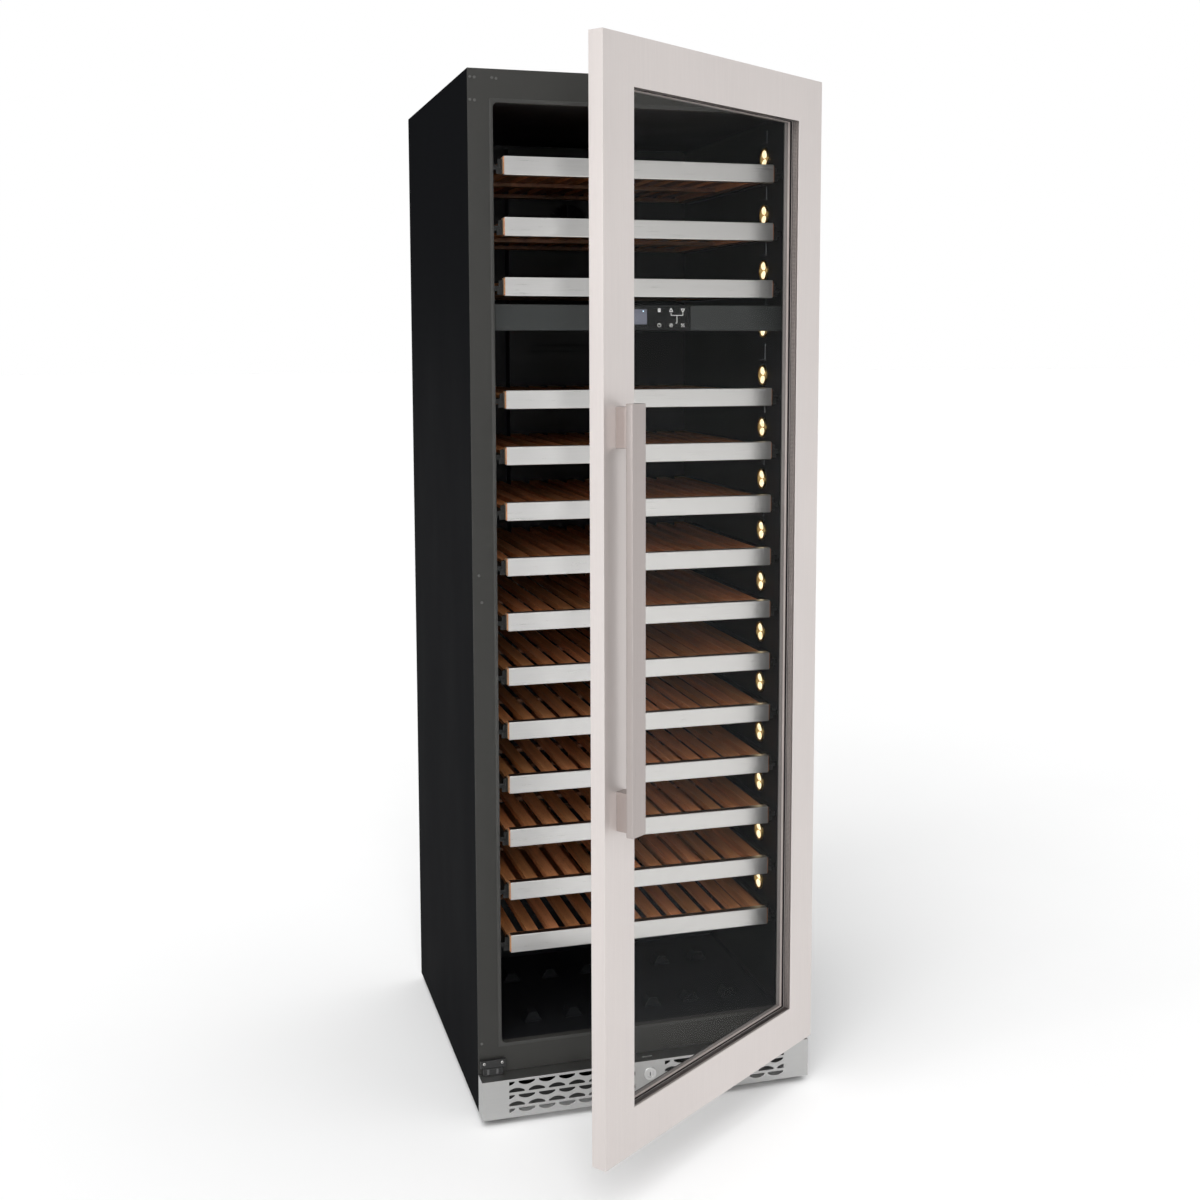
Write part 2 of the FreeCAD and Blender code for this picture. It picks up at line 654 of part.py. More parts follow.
def shelf_steel(top):
    """Steel cap folded over the front rail, and two moving slide members, each with a plate at its front."""
    low = top - FRONT_TALL
    cap = box(-FRONT_HALF, FRONT_HALF, FRONT_Y, FRONT_Y + FRONT_DEEP, low, top)
    cap = cap.cut(box(-HALF, HALF, FRONT_Y + SHEET, FRONT_Y + FRONT_DEEP + 1, low + SHEET, top - SHEET))
    middle = top - RAIL_DROP
    slide_z = (middle - SLIDE_HALF_TALL, middle + SLIDE_HALF_TALL)
    bar = slab((RACK_HALF, SLIDE_X), (SLIDE_FRONT, RACK_BACK), slide_z)
    head_y = (SLIDE_FRONT, SLIDE_FRONT + SLIDE_HEAD_THICK)
    head_z = (top - SLIDE_HEAD_DROP[1], top - SLIDE_HEAD_DROP[0])
    slide = fused([bar, slab((RACK_HALF, SLIDE_HEAD_X), head_y, head_z)])
    return [cap, slide, mirrored(slide)]


def fixed_rails():
    """Fixed channel of each slide, one on either wall for each shelf."""
    rails = []
    for top in SHELF_TOPS:
        middle = top - RAIL_DROP
        channel_z = (middle - RAIL_TALL / 2, middle + RAIL_TALL / 2)
        channel = slab((RAIL_X, CAVITY_HALF), RAIL_Y, channel_z)
        groove_z = (middle - GROOVE_HALF_TALL, middle + GROOVE_HALF_TALL)
        groove = slab((RAIL_X - 1, CAVITY_HALF - RAIL_WEB), (0, RAIL_Y[1] + 8), groove_z)
        rail = channel.cut(groove)
        rails += [rail, mirrored(rail)]
    return rails


# ======== zones, controls and lamps ========

def zone_divider():
    """Insulated board between the two zones."""
    return box(-CAVITY_HALF, CAVITY_HALF, FASCIA_Y + FASCIA_DEEP, DIVIDER_BACK, *DIVIDER_Z)


def control_fascia():
    """Cross bar with a shallow seat for the touch panel."""
    back = FASCIA_Y + FASCIA_DEEP
    bar = slab((-FASCIA_HALF, FASCIA_HALF), (FASCIA_Y, back), FASCIA_Z)
    seat = slab((-TOUCH_HALF, TOUCH_HALF), (FASCIA_Y - 1, FASCIA_Y + SEAT_DEEP), inset(FASCIA_Z, 1))
    inner_half = FASCIA_HALF - FASCIA_WALL
    inner_z = inset(FASCIA_Z, FASCIA_WALL)
    hollow = slab((-inner_half, inner_half), (FASCIA_Y + SEAT_DEEP + FASCIA_WALL, back + 4), inner_z)
    return bar.cut([seat, hollow])


def touch_panel():
    """Glossy cover of the display and touch keys."""
    half = TOUCH_HALF - 0.3
    return slab((-half, half), (FASCIA_Y, FASCIA_Y + SEAT_DEEP), inset(FASCIA_Z, 1.3))


def lamp_heights():
    """Height of each row of wall lamps."""
    return [top + LAMP_RISE for top in SHELF_TOPS] + [FASCIA_LAMP_Z]


def wall_lamps():
    """Round lamps on both walls: a domed lens in a raised ring."""
    lamps = []
    for z in lamp_heights():
        bezel = rod(V(CAVITY_HALF - BEZEL_PROUD, LAMP_Y, z), BEZEL_R, BEZEL_PROUD, V(1, 0, 0))
        tip = V(CAVITY_HALF - LAMP_PROUD, LAMP_Y, z)
        lens = Part.makeCone(LAMP_TIP_R, LAMP_R, LAMP_PROUD - BEZEL_PROUD, tip, V(1, 0, 0))
        lamp = fused([bezel, lens])
        lamps += [lamp, mirrored(lamp)]
    return lamps


# ======== cooling ========

def fan(centre, axis, radius):
    """Hub with a blind shaft bore, and pitched blades; the fan starts at centre and runs along axis."""
    upright = V(0, 0, 1)
    hub = Part.makeCylinder(radius * 0.33, FAN_DEPTH, V(0, 0, 0), upright)
    bore = Part.makeCylinder(SHAFT_R + SHAFT_PLAY, FAN_DEPTH - 3, V(0, 0, 3), upright)
    pieces = [hub]
    for i in range(BLADE_COUNT):
        corner = V(radius * 0.25, -BLADE_CHORD / 2, -BLADE_THICK / 2)
        blade = Part.makeBox(radius * 0.74, BLADE_CHORD, BLADE_THICK, corner)
        blade.rotate(V(0, 0, 0), V(1, 0, 0), BLADE_PITCH)
        blade.translate(V(0, 0, FAN_DEPTH / 2))
        blade.rotate(V(0, 0, 0), upright, 360 / BLADE_COUNT * i)
        pieces.append(blade)
    wheel = fused(pieces).common(Part.makeCylinder(radius, FAN_DEPTH, V(0, 0, 0), upright)).cut(bore)
    wheel.Placement = FreeCAD.Placement(centre, FreeCAD.Rotation(upright, axis))
    return wheel


def duct_cover(z0, z1, fan_z):
    """Air duct cover on the back wall of one zone: fan opening with a cross guard, and air slots."""
    wall = COVER_WALL
    shell = box(-COVER_HALF, COVER_HALF, COVER_Y, BACK_Y, z0, z1)
    inner_half = COVER_HALF - wall
    inside = slab((-inner_half, inner_half), (COVER_Y + wall, BACK_Y + 1), (z0 + wall, z1 - wall))
    shell = shell.cut(inside)
    opening_r = FAN_R - 4
    cuts = [rod(V(0, COVER_Y - 1, fan_z), opening_r, wall + 3, V(0, 1, 0))]
    slot_x = (-AIR_SLOT_HALF, AIR_SLOT_HALF)
    slot_y = (COVER_Y - 1, COVER_Y + wall + 1)
    cuts += [slab(slot_x, slot_y, (z, z + AIR_SLOT_TALL)) for z in (z1 - 60, z1 - 48, z0 + 30, z0 + 42)]
    reach = opening_r + 2
    face = (COVER_Y, COVER_Y + wall)
    level_bar = slab((-reach, reach), face, (fan_z - GUARD_HALF, fan_z + GUARD_HALF))
    upright_bar = slab((-GUARD_HALF, GUARD_HALF), face, (fan_z - reach, fan_z + reach))
    return fused([shell.cut(cuts), level_bar, upright_bar])


def fan_motor(fan_z):
    """Motor on the back wall with the shaft that carries a zone fan."""
    front = BACK_Y - MOTOR_DEPTH
    motor = rod(V(0, front, fan_z), MOTOR_R, MOTOR_DEPTH, V(0, 1, 0))
    shaft = rod(V(0, FAN_Y + 4, fan_z), SHAFT_R, front - FAN_Y - 4, V(0, 1, 0))
    return fused([motor, shaft])


def evaporator_covers():
    """The duct cover of each zone, with its fan's motor and shaft."""
    upper = (DIVIDER_Z[1] + COVER_GAP, CEILING_Z - 10, ZONE_FANS["fan_upper"])
    lower = (HUMP_Z + 10, DIVIDER_Z[0] - COVER_GAP, ZONE_FANS["fan_lower"])
    solids = []
    for zone in (upper, lower):
        solids += [duct_cover(*zone), fan_motor(zone[2])]
    return solids


def compressor():
    """Sealed compressor can on a footplate with four rubber grommets, and its suction stub."""
    x, y, z = COMPRESSOR
    can = rod(V(x, y, z), CAN_R, CAN_TALL, V(0, 0, 1))
    rims = [e for e in can.Edges if abs(e.Length - 2 * math.pi * CAN_R) < 1]
    can = can.makeFillet(CAN_ROUND, rims)
    half_x, half_y = FOOTPLATE_HALF
    plate_z = z - FOOTPLATE_THICK
    plate = box(x - half_x, x + half_x, y - half_y, y + half_y, plate_z, z)
    tray = BASE_Z + SHEET
    grommets = []
    for side_x in (-GROMMET_AT[0], GROMMET_AT[0]):
        for side_y in (-GROMMET_AT[1], GROMMET_AT[1]):
            grommets.append(rod(V(x + side_x, y + side_y, tray), GROMMET_R, plate_z - tray, V(0, 0, 1)))
    boss = box(x + 30, x + 50, y - 60, y - 40, 100, 120)
    stub = rod(V(x + 40, y - 56, 110), 4, 24, V(0, -1, 0))
    return fused([can, plate, boss, stub] + grommets)


def condenser_core():
    """Fins on tubes, standing on two feet."""
    fins = [slab((x, x + SHEET), FIN_Y, FIN_Z) for x in (FIN_X + FIN_PITCH * i for i in range(FIN_COUNT))]
    tubes = [rod(V(TUBE_X, y, z), TUBE_R, TUBE_LONG, V(1, 0, 0)) for y in TUBE_Y for z in TUBE_Z]
    foot_x = (FIN_X - 1, FIN_X + 102)
    foot_z = (BASE_Z + SHEET, FIN_Z[0] + 1)
    feet = [slab(foot_x, (y, y + 6), foot_z) for y in (FIN_Y[0] + 10, FIN_Y[1] - 16)]
    return fused(fins + tubes + feet)


def condenser_shroud():
    """Fan shroud with a cross of struts that holds the fan's motor and shaft."""
    c = CONDENSER_FAN
    reach = SHROUD_HALF
    deep = SHROUD_DEEP / 2
    shroud = box(c.x - deep, c.x + deep, c.y - reach, c.y + reach, BASE_Z + SHEET, c.z + reach)
    shroud = shroud.cut(rod(V(c.x - 20, c.y, c.z), CONDENSER_FAN_R + 4, 40, V(1, 0, 0)))
    strut_x = (c.x + deep - 4, c.x + deep)
    long = reach - 2
    level = slab(strut_x, (c.y - long, c.y + long), (c.z - STRUT_HALF, c.z + STRUT_HALF))
    upright = slab(strut_x, (c.y - STRUT_HALF, c.y + STRUT_HALF), (c.z - long, c.z + long))
    shaft = rod(V(c.x - 2, c.y, c.z), SHAFT_R, 15, V(1, 0, 0))
    motor = rod(V(c.x + 12, c.y, c.z), MOTOR_R, 26, V(1, 0, 0))
    return fused([shroud, level, upright, shaft, motor])


def power_inlet():
    """Mains inlet socket in the back: a recessed shroud with three blades."""
    x = sum(INLET_X) / 2
    z = sum(INLET_Z) / 2
    shroud = slab(INLET_X, (DEPTH - INLET_DEEP, DEPTH), INLET_Z)
    wide, tall = INLET_WELL_HALF
    well = box(x - wide, x + wide, DEPTH - INLET_RECESS, DEPTH + 1, z - tall, z + tall)
    blade_y = (DEPTH - INLET_RECESS - 1, DEPTH - 7)
    blades = []
    for across, up in INLET_BLADES:
        blade_x, blade_z = x + across, z + up
        blades.append(slab((blade_x - 1, blade_x + 1), blade_y, (blade_z - 2.5, blade_z + 2.5)))
    return fused([shroud.cut(well)] + blades)


# ======== write everything ========

save("outer_wrap", outer_wrap())
save("rear_panel", rear_panel())
save("front_flange", front_flange())
save("inner_liner", inner_liner())
save("insulation", insulation())
save("machine_base", machine_base())
save_group("levelling_feet", levelling_feet())
save("kick_plate", kick_plate())
save("lock_barrel", lock_barrel())
save("lock_cylinder", lock_cylinder())
save("lock_bolt", lock_bolt())
save_group("hinge_brackets", hinge_brackets())
save_group("hinge_pins", hinge_pins())
save("zone_divider", zone_divider())
save("control_fascia", control_fascia())
save("touch_panel", touch_panel())
save_group("wall_lamps", wall_lamps())
save_group("shelf_rails", fixed_rails())
save_group("evaporator_covers", evaporator_covers())
save("compressor", compressor())
save_group("condenser", [condenser_core(), condenser_shroud()])
save("power_inlet", power_inlet())
for fan_name, fan_z in ZONE_FANS.items():
    save(fan_name, fan(V(0, FAN_Y, fan_z), V(0, 1, 0), FAN_R - 5))
save("fan_condenser", fan(CONDENSER_WHEEL, V(1, 0, 0), CONDENSER_FAN_R))

for number, shelf_top in enumerate(SHELF_TOPS, start=1):
    save_group(f"shelf_{number:02d}_rack", shelf_rack(shelf_top))
    save_group(f"shelf_{number:02d}_front", shelf_steel(shelf_top))

save_on_door("door_skin", door_skin())
save_on_door("door_liner", door_liner())
save_on_door("glass_panes", Part.makeCompound(glass_panes()))
save_on_door("glass_spacer", glass_spacer())
save_on_door("door_gasket", door_gasket())
save_on_door("handle_bar", handle_bar())
save_on_door("handle_posts", handle_posts())
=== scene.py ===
"""Looks of a tall two-zone wine cooler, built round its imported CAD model.

Metres, in the row frame: +X right, +Y to the back, +Z up. Sizes are written in millimetres times MM.
Pieces of the door are drawn with the door shut and then swung to the door's rest angle.
"""

import json
import math

import bmesh
import bpy
from mathutils import Matrix, Vector


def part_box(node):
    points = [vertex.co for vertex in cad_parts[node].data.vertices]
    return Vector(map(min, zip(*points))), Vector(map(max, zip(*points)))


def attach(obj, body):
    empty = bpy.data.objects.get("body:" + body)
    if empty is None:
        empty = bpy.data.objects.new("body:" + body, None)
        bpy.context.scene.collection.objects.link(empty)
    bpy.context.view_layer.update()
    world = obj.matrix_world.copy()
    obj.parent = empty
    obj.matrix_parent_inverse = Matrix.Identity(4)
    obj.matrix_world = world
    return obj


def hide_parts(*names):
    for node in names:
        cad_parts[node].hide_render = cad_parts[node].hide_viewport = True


MM = 0.001
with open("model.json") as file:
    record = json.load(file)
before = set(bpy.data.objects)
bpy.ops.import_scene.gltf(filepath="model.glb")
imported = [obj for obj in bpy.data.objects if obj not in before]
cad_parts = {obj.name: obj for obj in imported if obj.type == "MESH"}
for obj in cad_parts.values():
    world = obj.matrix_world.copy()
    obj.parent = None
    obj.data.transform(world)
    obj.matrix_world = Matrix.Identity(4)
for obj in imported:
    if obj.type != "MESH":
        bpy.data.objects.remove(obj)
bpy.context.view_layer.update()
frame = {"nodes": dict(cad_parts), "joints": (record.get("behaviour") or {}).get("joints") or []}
NODES = frame["nodes"]

# ======== places taken from the frame ========

hinge = next(j for j in frame["joints"] if j["name"] == "door_hinge")
PIVOT = Vector(hinge["pos_m"])
REST_TURN = math.radians(-hinge["range_deg"][0])
SWING = Matrix.Translation(PIVOT) @ Matrix.Rotation(REST_TURN, 4, "Z") @ Matrix.Translation(-PIVOT)
UNSWING = SWING.inverted()
STILL = Matrix.Identity(4)


def shut_box(node):
    """Lowest and highest corners of a door node with the door shut."""
    points = [UNSWING @ v.co for v in NODES[node].data.vertices]
    return tuple(Vector([pick(p[i] for p in points) for i in range(3)]) for pick in (min, max))


FLANGE_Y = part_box("front_flange")[0].y
LINER_LOW, LINER_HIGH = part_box("inner_liner")
LINER_WALL = 3 * MM
WALL_X = LINER_HIGH.x - LINER_WALL
FASCIA_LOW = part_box("control_fascia")[0]
TOUCH_LOW, TOUCH_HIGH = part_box("touch_panel")
SHELVES = [f"shelf_{n:02d}" for n in range(1, 15)]
SHELF_TOPS = [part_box(name + "_front")[1].z for name in SHELVES]


# ======== mesh helpers ========

def add_box(bm, low, high, edge=0.0, steps=2, material=0):
    """A block between two corners, with its edges rounded."""
    size = [b - a for a, b in zip(low, high)]
    middle = [(a + b) / 2 for a, b in zip(low, high)]
    place = Matrix.Translation(middle) @ Matrix.Diagonal((*size, 1.0))
    verts = bmesh.ops.create_cube(bm, size=1.0, matrix=place)["verts"]
    if edge:
        edges = list({e for v in verts for e in v.link_edges})
        verts = bmesh.ops.bevel(bm, geom=edges, offset=edge, segments=steps, profile=0.5,
                                affect="EDGES", clamp_overlap=True)["verts"]
    for face in {f for v in verts for f in v.link_faces}:
        face.material_index = material


def add_side_box(bm, side, x_range, y_range, z_range, edge, steps=2):
    """A rounded block on the right (side 1), or its mirror image on the left (side -1)."""
    near, far = sorted(side * x for x in x_range)
    add_box(bm, (near, y_range[0], z_range[0]), (far, y_range[1], z_range[1]), edge, steps)


def join_loops(bm, first, second, material):
    """Faces between two loops of the same length; a loop of one vertex is a tip."""
    count = max(len(first), len(second))
    for k in range(count):
        after = (k + 1) % count
        corners = [first[k % len(first)], first[after % len(first)],
                   second[after % len(second)], second[k % len(second)]]
        unique = list(dict.fromkeys(corners))
        if len(unique) > 2:
            bm.faces.new(unique).material_index = material


def add_lathe(bm, profile, base, axis, steps=32, closed=False, material=0):
    """A turned shape. profile is (radius, height) pairs; a closed profile makes a ring."""
    turn = Vector((0, 0, 1)).rotation_difference(Vector(axis)).to_matrix().to_4x4()
    place = Matrix.Translation(base) @ turn
    loops = []
    for radius, height in profile:
        count = steps if radius > 1e-7 else 1
        angles = [2 * math.pi * k / steps for k in range(count)]
        loops.append([bm.verts.new(place @ Vector((radius * math.cos(a), radius * math.sin(a), height)))
                      for a in angles])
    for first, second in zip(loops, loops[1:]):
        join_loops(bm, first, second, material)
    if closed:
        join_loops(bm, loops[-1], loops[0], material)


def add_prism(bm, outline, along, start, end, material=0):
    """An outline of two coordinates, carried along one axis (0, 1 or 2) from start to end."""
    others = [i for i in range(3) if i != along]
    loops = []
    for reach in (start, end):
        loop = []
        for a, b in outline:
            point = [0.0, 0.0, 0.0]
            point[along] = reach
            point[others[0]] = a
            point[others[1]] = b
            loop.append(bm.verts.new(point))
        loops.append(loop)
    join_loops(bm, loops[0], loops[1], material)
    for loop in loops:
        bm.faces.new(loop).material_index = material


def add_mitred_frame(bm, profile, half, low, high, materials=None):
    """A closed profile carried round an upright rectangle. Profile points are (outward, Y)."""
    loops = []
    for out, y in profile:
        x, bottom, top = half + out, low - out, high + out
        loops.append([bm.verts.new((a, y, b)) for a, b in ((-x, bottom), (x, bottom), (x, top), (-x, top))])
    for k, loop in enumerate(loops):
        join_loops(bm, loop, loops[(k + 1) % len(loops)], materials[k] if materials else 0)


def add_rounded_frame(bm, profile, half, low, high, steps=6, materials=None):
    """Like add_mitred_frame, but each profile point is (outward, Y, corner radius)."""
    loops = []
    for out, y, radius in profile:
        x, bottom, top = half + out - radius, low - out + radius, high + out - radius
        corners = [((x, top), 0), ((-x, top), 90), ((-x, bottom), 180), ((x, bottom), 270)]
        points = [spot for centre, start in corners for spot in arc(centre, radius, start, start + 90, steps)]
        loops.append([bm.verts.new((a, y, b)) for a, b in points])
    for k, loop in enumerate(loops):
        join_loops(bm, loop, loops[(k + 1) % len(loops)], materials[k] if materials else 0)


def arc(centre, radius, start, end, steps):
    """Points along an arc, angles in degrees."""
    angles = [math.radians(start + (end - start) * k / steps) for k in range(steps + 1)]
    return [(centre[0] + radius * math.cos(a), centre[1] + radius * math.sin(a)) for a in angles]


def piece(name, bm, body, paints, replaces=(), place=STILL, crease=40):
    """Turns a bmesh into a piece that rides on a body, with its materials and material slot."""
    bmesh.ops.recalc_face_normals(bm, faces=bm.faces)
    limit = math.radians(crease)
    for face in bm.faces:
        face.smooth = True
    for edge in bm.edges:
        edge.smooth = edge.calc_face_angle(math.pi) < limit
    mesh = bpy.data.meshes.new(name)
    bm.to_mesh(mesh)
    bm.free()
    mesh.transform(place)
    obj = bpy.data.objects.new(name, mesh)
    bpy.context.scene.collection.objects.link(obj)
    for paint in paints:
        mesh.materials.append(paint)
    even = obj.modifiers.new("even_normals", "WEIGHTED_NORMAL")
    even.keep_sharp = True
    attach(obj, body)
    if replaces:
        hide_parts(*replaces)
    return obj


def dress(node, paint, edge=0.0, steps=2):
    """Gives a CAD node its material, and softens its edges without touching its mesh."""
    obj = NODES[node]
    for slot in obj.material_slots:
        slot.material = paint
    if not edge:
        return
    weld = obj.modifiers.new("weld", "WELD")
    weld.merge_threshold = 0.005 * MM
    bevel = obj.modifiers.new("soft_edges", "BEVEL")
    bevel.width = edge
    bevel.segments = steps
    bevel.limit_method = "ANGLE"
    bevel.angle_limit = math.radians(35)
    bevel.use_clamp_overlap = True
    even = obj.modifiers.new("even_normals", "WEIGHTED_NORMAL")
    even.keep_sharp = False


# ======== material helpers ========

def make(tree, kind, inputs=None, **settings):
    """One shader node with its inputs set or linked."""
    node = tree.nodes.new("ShaderNode" + kind)
    for key, value in settings.items():
        setattr(node, key, value)
    for key, value in (inputs or {}).items():
        if isinstance(value, bpy.types.NodeSocket):
            tree.links.new(value, node.inputs[key])
        else:
            node.inputs[key].default_value = value
    return node


def new_paint(name, **sockets):
    """A new Principled material; sockets are named with underscores for spaces."""
    paint = bpy.data.materials.new(name)
    paint.use_nodes = True
    tree = paint.node_tree
    shader = tree.nodes["Principled BSDF"]
    for key, value in sockets.items():
        shader.inputs[key.replace("_", " ")].default_value = value
    return paint, tree, shader


def stretched(tree, scale):
    """Object coordinates with a scale for each axis."""
    place = make(tree, "TexCoord").outputs["Object"]
    return make(tree, "Mapping", {"Vector": place, "Scale": scale}).outputs[0]


def noise(tree, scale, detail=3.0, roughness=0.5, distortion=0.0):
    """Noise from 0 to 1 whose grain has the given cells per metre along each axis."""
    inputs = {"Vector": stretched(tree, scale), "Scale": 1.0, "Detail": detail,
              "Roughness": roughness, "Distortion": distortion}
    return make(tree, "TexNoise", inputs).outputs["Fac"]


def voronoi(tree, scale):
    """Cells, with the given number to a metre."""
    return make(tree, "TexVoronoi", {"Vector": stretched(tree, (scale,) * 3), "Scale": 1.0})


def ramp(tree, value, stops):
    """Colour from a value; stops are (place, colour)."""
    node = make(tree, "ValToRGB", {"Fac": value})
    band = node.color_ramp
    while len(band.elements) < len(stops):
        band.elements.new(0.5)
    for element, (place, colour) in zip(band.elements, stops):
        element.position = place
        element.color = (*colour, 1.0)
    return node.outputs["Color"]


def fitted(tree, value, low, high, start=0.3, end=0.7):
    """A value moved from the range start..end to low..high."""
    inputs = {"Value": value, "From Min": start, "From Max": end, "To Min": low, "To Max": high}
    return make(tree, "MapRange", inputs).outputs["Result"]


def maths(tree, operation, first, second=0.0, third=0.0):
    """One arithmetic node."""
    return make(tree, "Math", {0: first, 1: second, 2: third}, operation=operation).outputs[0]


def shaded(colour, factor):
    """A colour made lighter or darker."""
    return tuple(min(1.0, c * factor) for c in colour)


def bump(tree, height, distance, strength=1.0, below=None):
    """A bump normal, on top of another if one is given."""
    inputs = {"Height": height, "Distance": distance, "Strength": strength}
    if below:
        inputs["Normal"] = below
    return make(tree, "Bump", inputs).outputs[0]


# ======== materials ========

def brushed_steel(name, colour, grain, rough, streak=0.05, cloud=0.04, stretch=0.6, metal=1.0):
    """Stainless sheet with fine grain along one axis, broader streaks and faint clouds."""
    paint, tree, shader = new_paint(name, Metallic=metal, Anisotropic=stretch)
    fine = noise(tree, [22.0 if axis == grain else 1500.0 for axis in "xyz"], 2.0)
    broad = noise(tree, [6.0 if axis == grain else 330.0 for axis in "xyz"], 4.0, 0.65)
    patch = noise(tree, (3.0, 3.0, 2.2), 2.0)
    mixed = maths(tree, "ADD", maths(tree, "MULTIPLY", broad, 0.5), maths(tree, "MULTIPLY", fine, 0.5))
    line = make(tree, "CombineXYZ", {axis.upper(): float(axis == grain) for axis in "xyz"})
    tree.links.new(line.outputs[0], shader.inputs["Tangent"])
    dark, light = shaded(colour, 1 - streak), shaded(colour, 1 + streak)
    lines = ramp(tree, mixed, [(0.34, dark), (0.5, colour), (0.66, light)])
    tone = ramp(tree, patch, [(0.3, (1 - cloud,) * 3), (0.7, (1.0,) * 3)])
    blend = make(tree, "Mix", {0: 1.0, 6: lines, 7: tone}, data_type="RGBA", blend_type="MULTIPLY")
    tree.links.new(blend.outputs[2], shader.inputs["Base Color"])
    tree.links.new(fitted(tree, mixed, rough[0], rough[1]), shader.inputs["Roughness"])
    tree.links.new(bump(tree, fine, 0.012 * MM, 0.5), shader.inputs["Normal"])
    return paint


def powder_coat(name, colour, rough, grain=900.0, depth=0.03, specular=0.35):
    """Painted steel with the fine orange peel of a powder coat and faint handling marks."""
    paint, tree, shader = new_paint(name, Specular_IOR_Level=specular)
    peel = noise(tree, (grain,) * 3, 2.0)
    worn = noise(tree, (4.0, 4.0, 2.0), 4.0, 0.55)
    colours = [(0.3, shaded(colour, 0.94)), (0.7, shaded(colour, 1.07))]
    tree.links.new(ramp(tree, worn, colours), shader.inputs["Base Color"])
    tree.links.new(fitted(tree, worn, rough[0], rough[1]), shader.inputs["Roughness"])
    tree.links.new(bump(tree, peel, depth * MM, 0.5), shader.inputs["Normal"])
    return paint


def moulded(name, colour, rough, grain=1600.0, depth=0.02, specular=0.4):
    """Moulded plastic with a fine spark-eroded grain and slow changes of gloss."""
    paint, tree, shader = new_paint(name, Specular_IOR_Level=specular)
    cells = voronoi(tree, grain).outputs["Distance"]
    slow = noise(tree, (5.0, 5.0, 5.0), 3.0)
    colours = [(0.3, shaded(colour, 0.88)), (0.7, shaded(colour, 1.12))]
    tree.links.new(ramp(tree, slow, colours), shader.inputs["Base Color"])
    tree.links.new(fitted(tree, slow, rough[0], rough[1]), shader.inputs["Roughness"])
    tree.links.new(bump(tree, cells, depth * MM, 0.4), shader.inputs["Normal"])
    return paint


def beech(name, grain, tone=1.0):
    """Steamed beech: warm bands along the grain, short dark flecks, each stick a little different."""
    paint, tree, shader = new_paint(name, Specular_IOR_Level=0.35)
    bands = noise(tree, [3.5 if axis == grain else 95.0 for axis in "xyz"], 5.0, 0.62, 0.35)
    flecks = noise(tree, [95.0 if axis == grain else 760.0 for axis in "xyz"], 2.0)
    fibres = noise(tree, [14.0 if axis == grain else 1300.0 for axis in "xyz"], 2.0)
    wood = ramp(tree, bands, [(0.25, (0.33, 0.118, 0.044)), (0.48, (0.52, 0.215, 0.088)),
                              (0.62, (0.60, 0.265, 0.116)), (0.8, (0.44, 0.170, 0.068))])
    spots = ramp(tree, flecks, [(0.30, (0.45, 0.36, 0.30)), (0.42, (1.0, 1.0, 1.0))])
    marked = make(tree, "Mix", {0: 0.7, 6: wood, 7: spots}, data_type="RGBA", blend_type="MULTIPLY")
    # one random number to each stick of each shelf
    place = make(tree, "TexCoord").outputs["Object"]
    cell = make(tree, "VectorMath", {0: place, 1: (STICK_PITCH, 1.0, 30 * MM)}, operation="DIVIDE").outputs[0]
    rounded = make(tree, "VectorMath", {0: cell, 1: (0.5, 0.5, 0.0)}, operation="ADD").outputs[0]
    floor_cell = make(tree, "VectorMath", {0: rounded}, operation="FLOOR").outputs[0]
    pick = make(tree, "TexWhiteNoise", {"Vector": floor_cell}).outputs["Value"]
    # a tone below 1 darkens the whole wood; the underside copy uses it for painted shade
    change = {"Color": marked.outputs[2], "Value": fitted(tree, pick, 0.80 * tone, 1.16 * tone, 0, 1),
              "Hue": fitted(tree, pick, 0.496, 0.506, 1, 0)}
    tree.links.new(make(tree, "HueSaturation", change).outputs[0], shader.inputs["Base Color"])
    tree.links.new(fitted(tree, bands, 0.44, 0.60), shader.inputs["Roughness"])
    tree.links.new(bump(tree, fibres, 0.04 * MM, 0.5), shader.inputs["Normal"])
    return paint


def end_grain(name):
    """Sawn end of a beech rail: pale, with short pores."""
    paint, tree, shader = new_paint(name, Specular_IOR_Level=0.3, Roughness=0.62)
    pores = noise(tree, (1100.0, 1100.0, 1100.0), 2.0)
    colours = [(0.35, (0.42, 0.26, 0.15)), (0.5, (0.66, 0.46, 0.31))]
    tree.links.new(ramp(tree, pores, colours), shader.inputs["Base Color"])
    tree.links.new(bump(tree, pores, 0.05 * MM), shader.inputs["Normal"])
    return paint


def clear_glass(name):
    """Coated double glazing: nearly clear, with a faint mirror that grows at low angles."""
    paint = bpy.data.materials.new(name)
    paint.use_nodes = True
    tree = paint.node_tree
    tree.nodes.remove(tree.nodes["Principled BSDF"])
    clear = make(tree, "BsdfTransparent", {"Color": (0.989, 0.988, 0.986, 1.0)})
    mirror = make(tree, "BsdfGlossy", {"Color": (0.9, 0.93, 0.95, 1.0), "Roughness": 0.015})
    head_on_share, added_share = 0.001, 0.009
    grazing = make(tree, "LayerWeight", {"Blend": 0.25}).outputs["Facing"]
    share = maths(tree, "MULTIPLY_ADD", grazing, added_share, head_on_share)
    mix = make(tree, "MixShader", {0: share, 1: clear.outputs[0], 2: mirror.outputs[0]})
    tree.links.new(mix.outputs[0], tree.nodes["Material Output"].inputs["Surface"])
    return paint


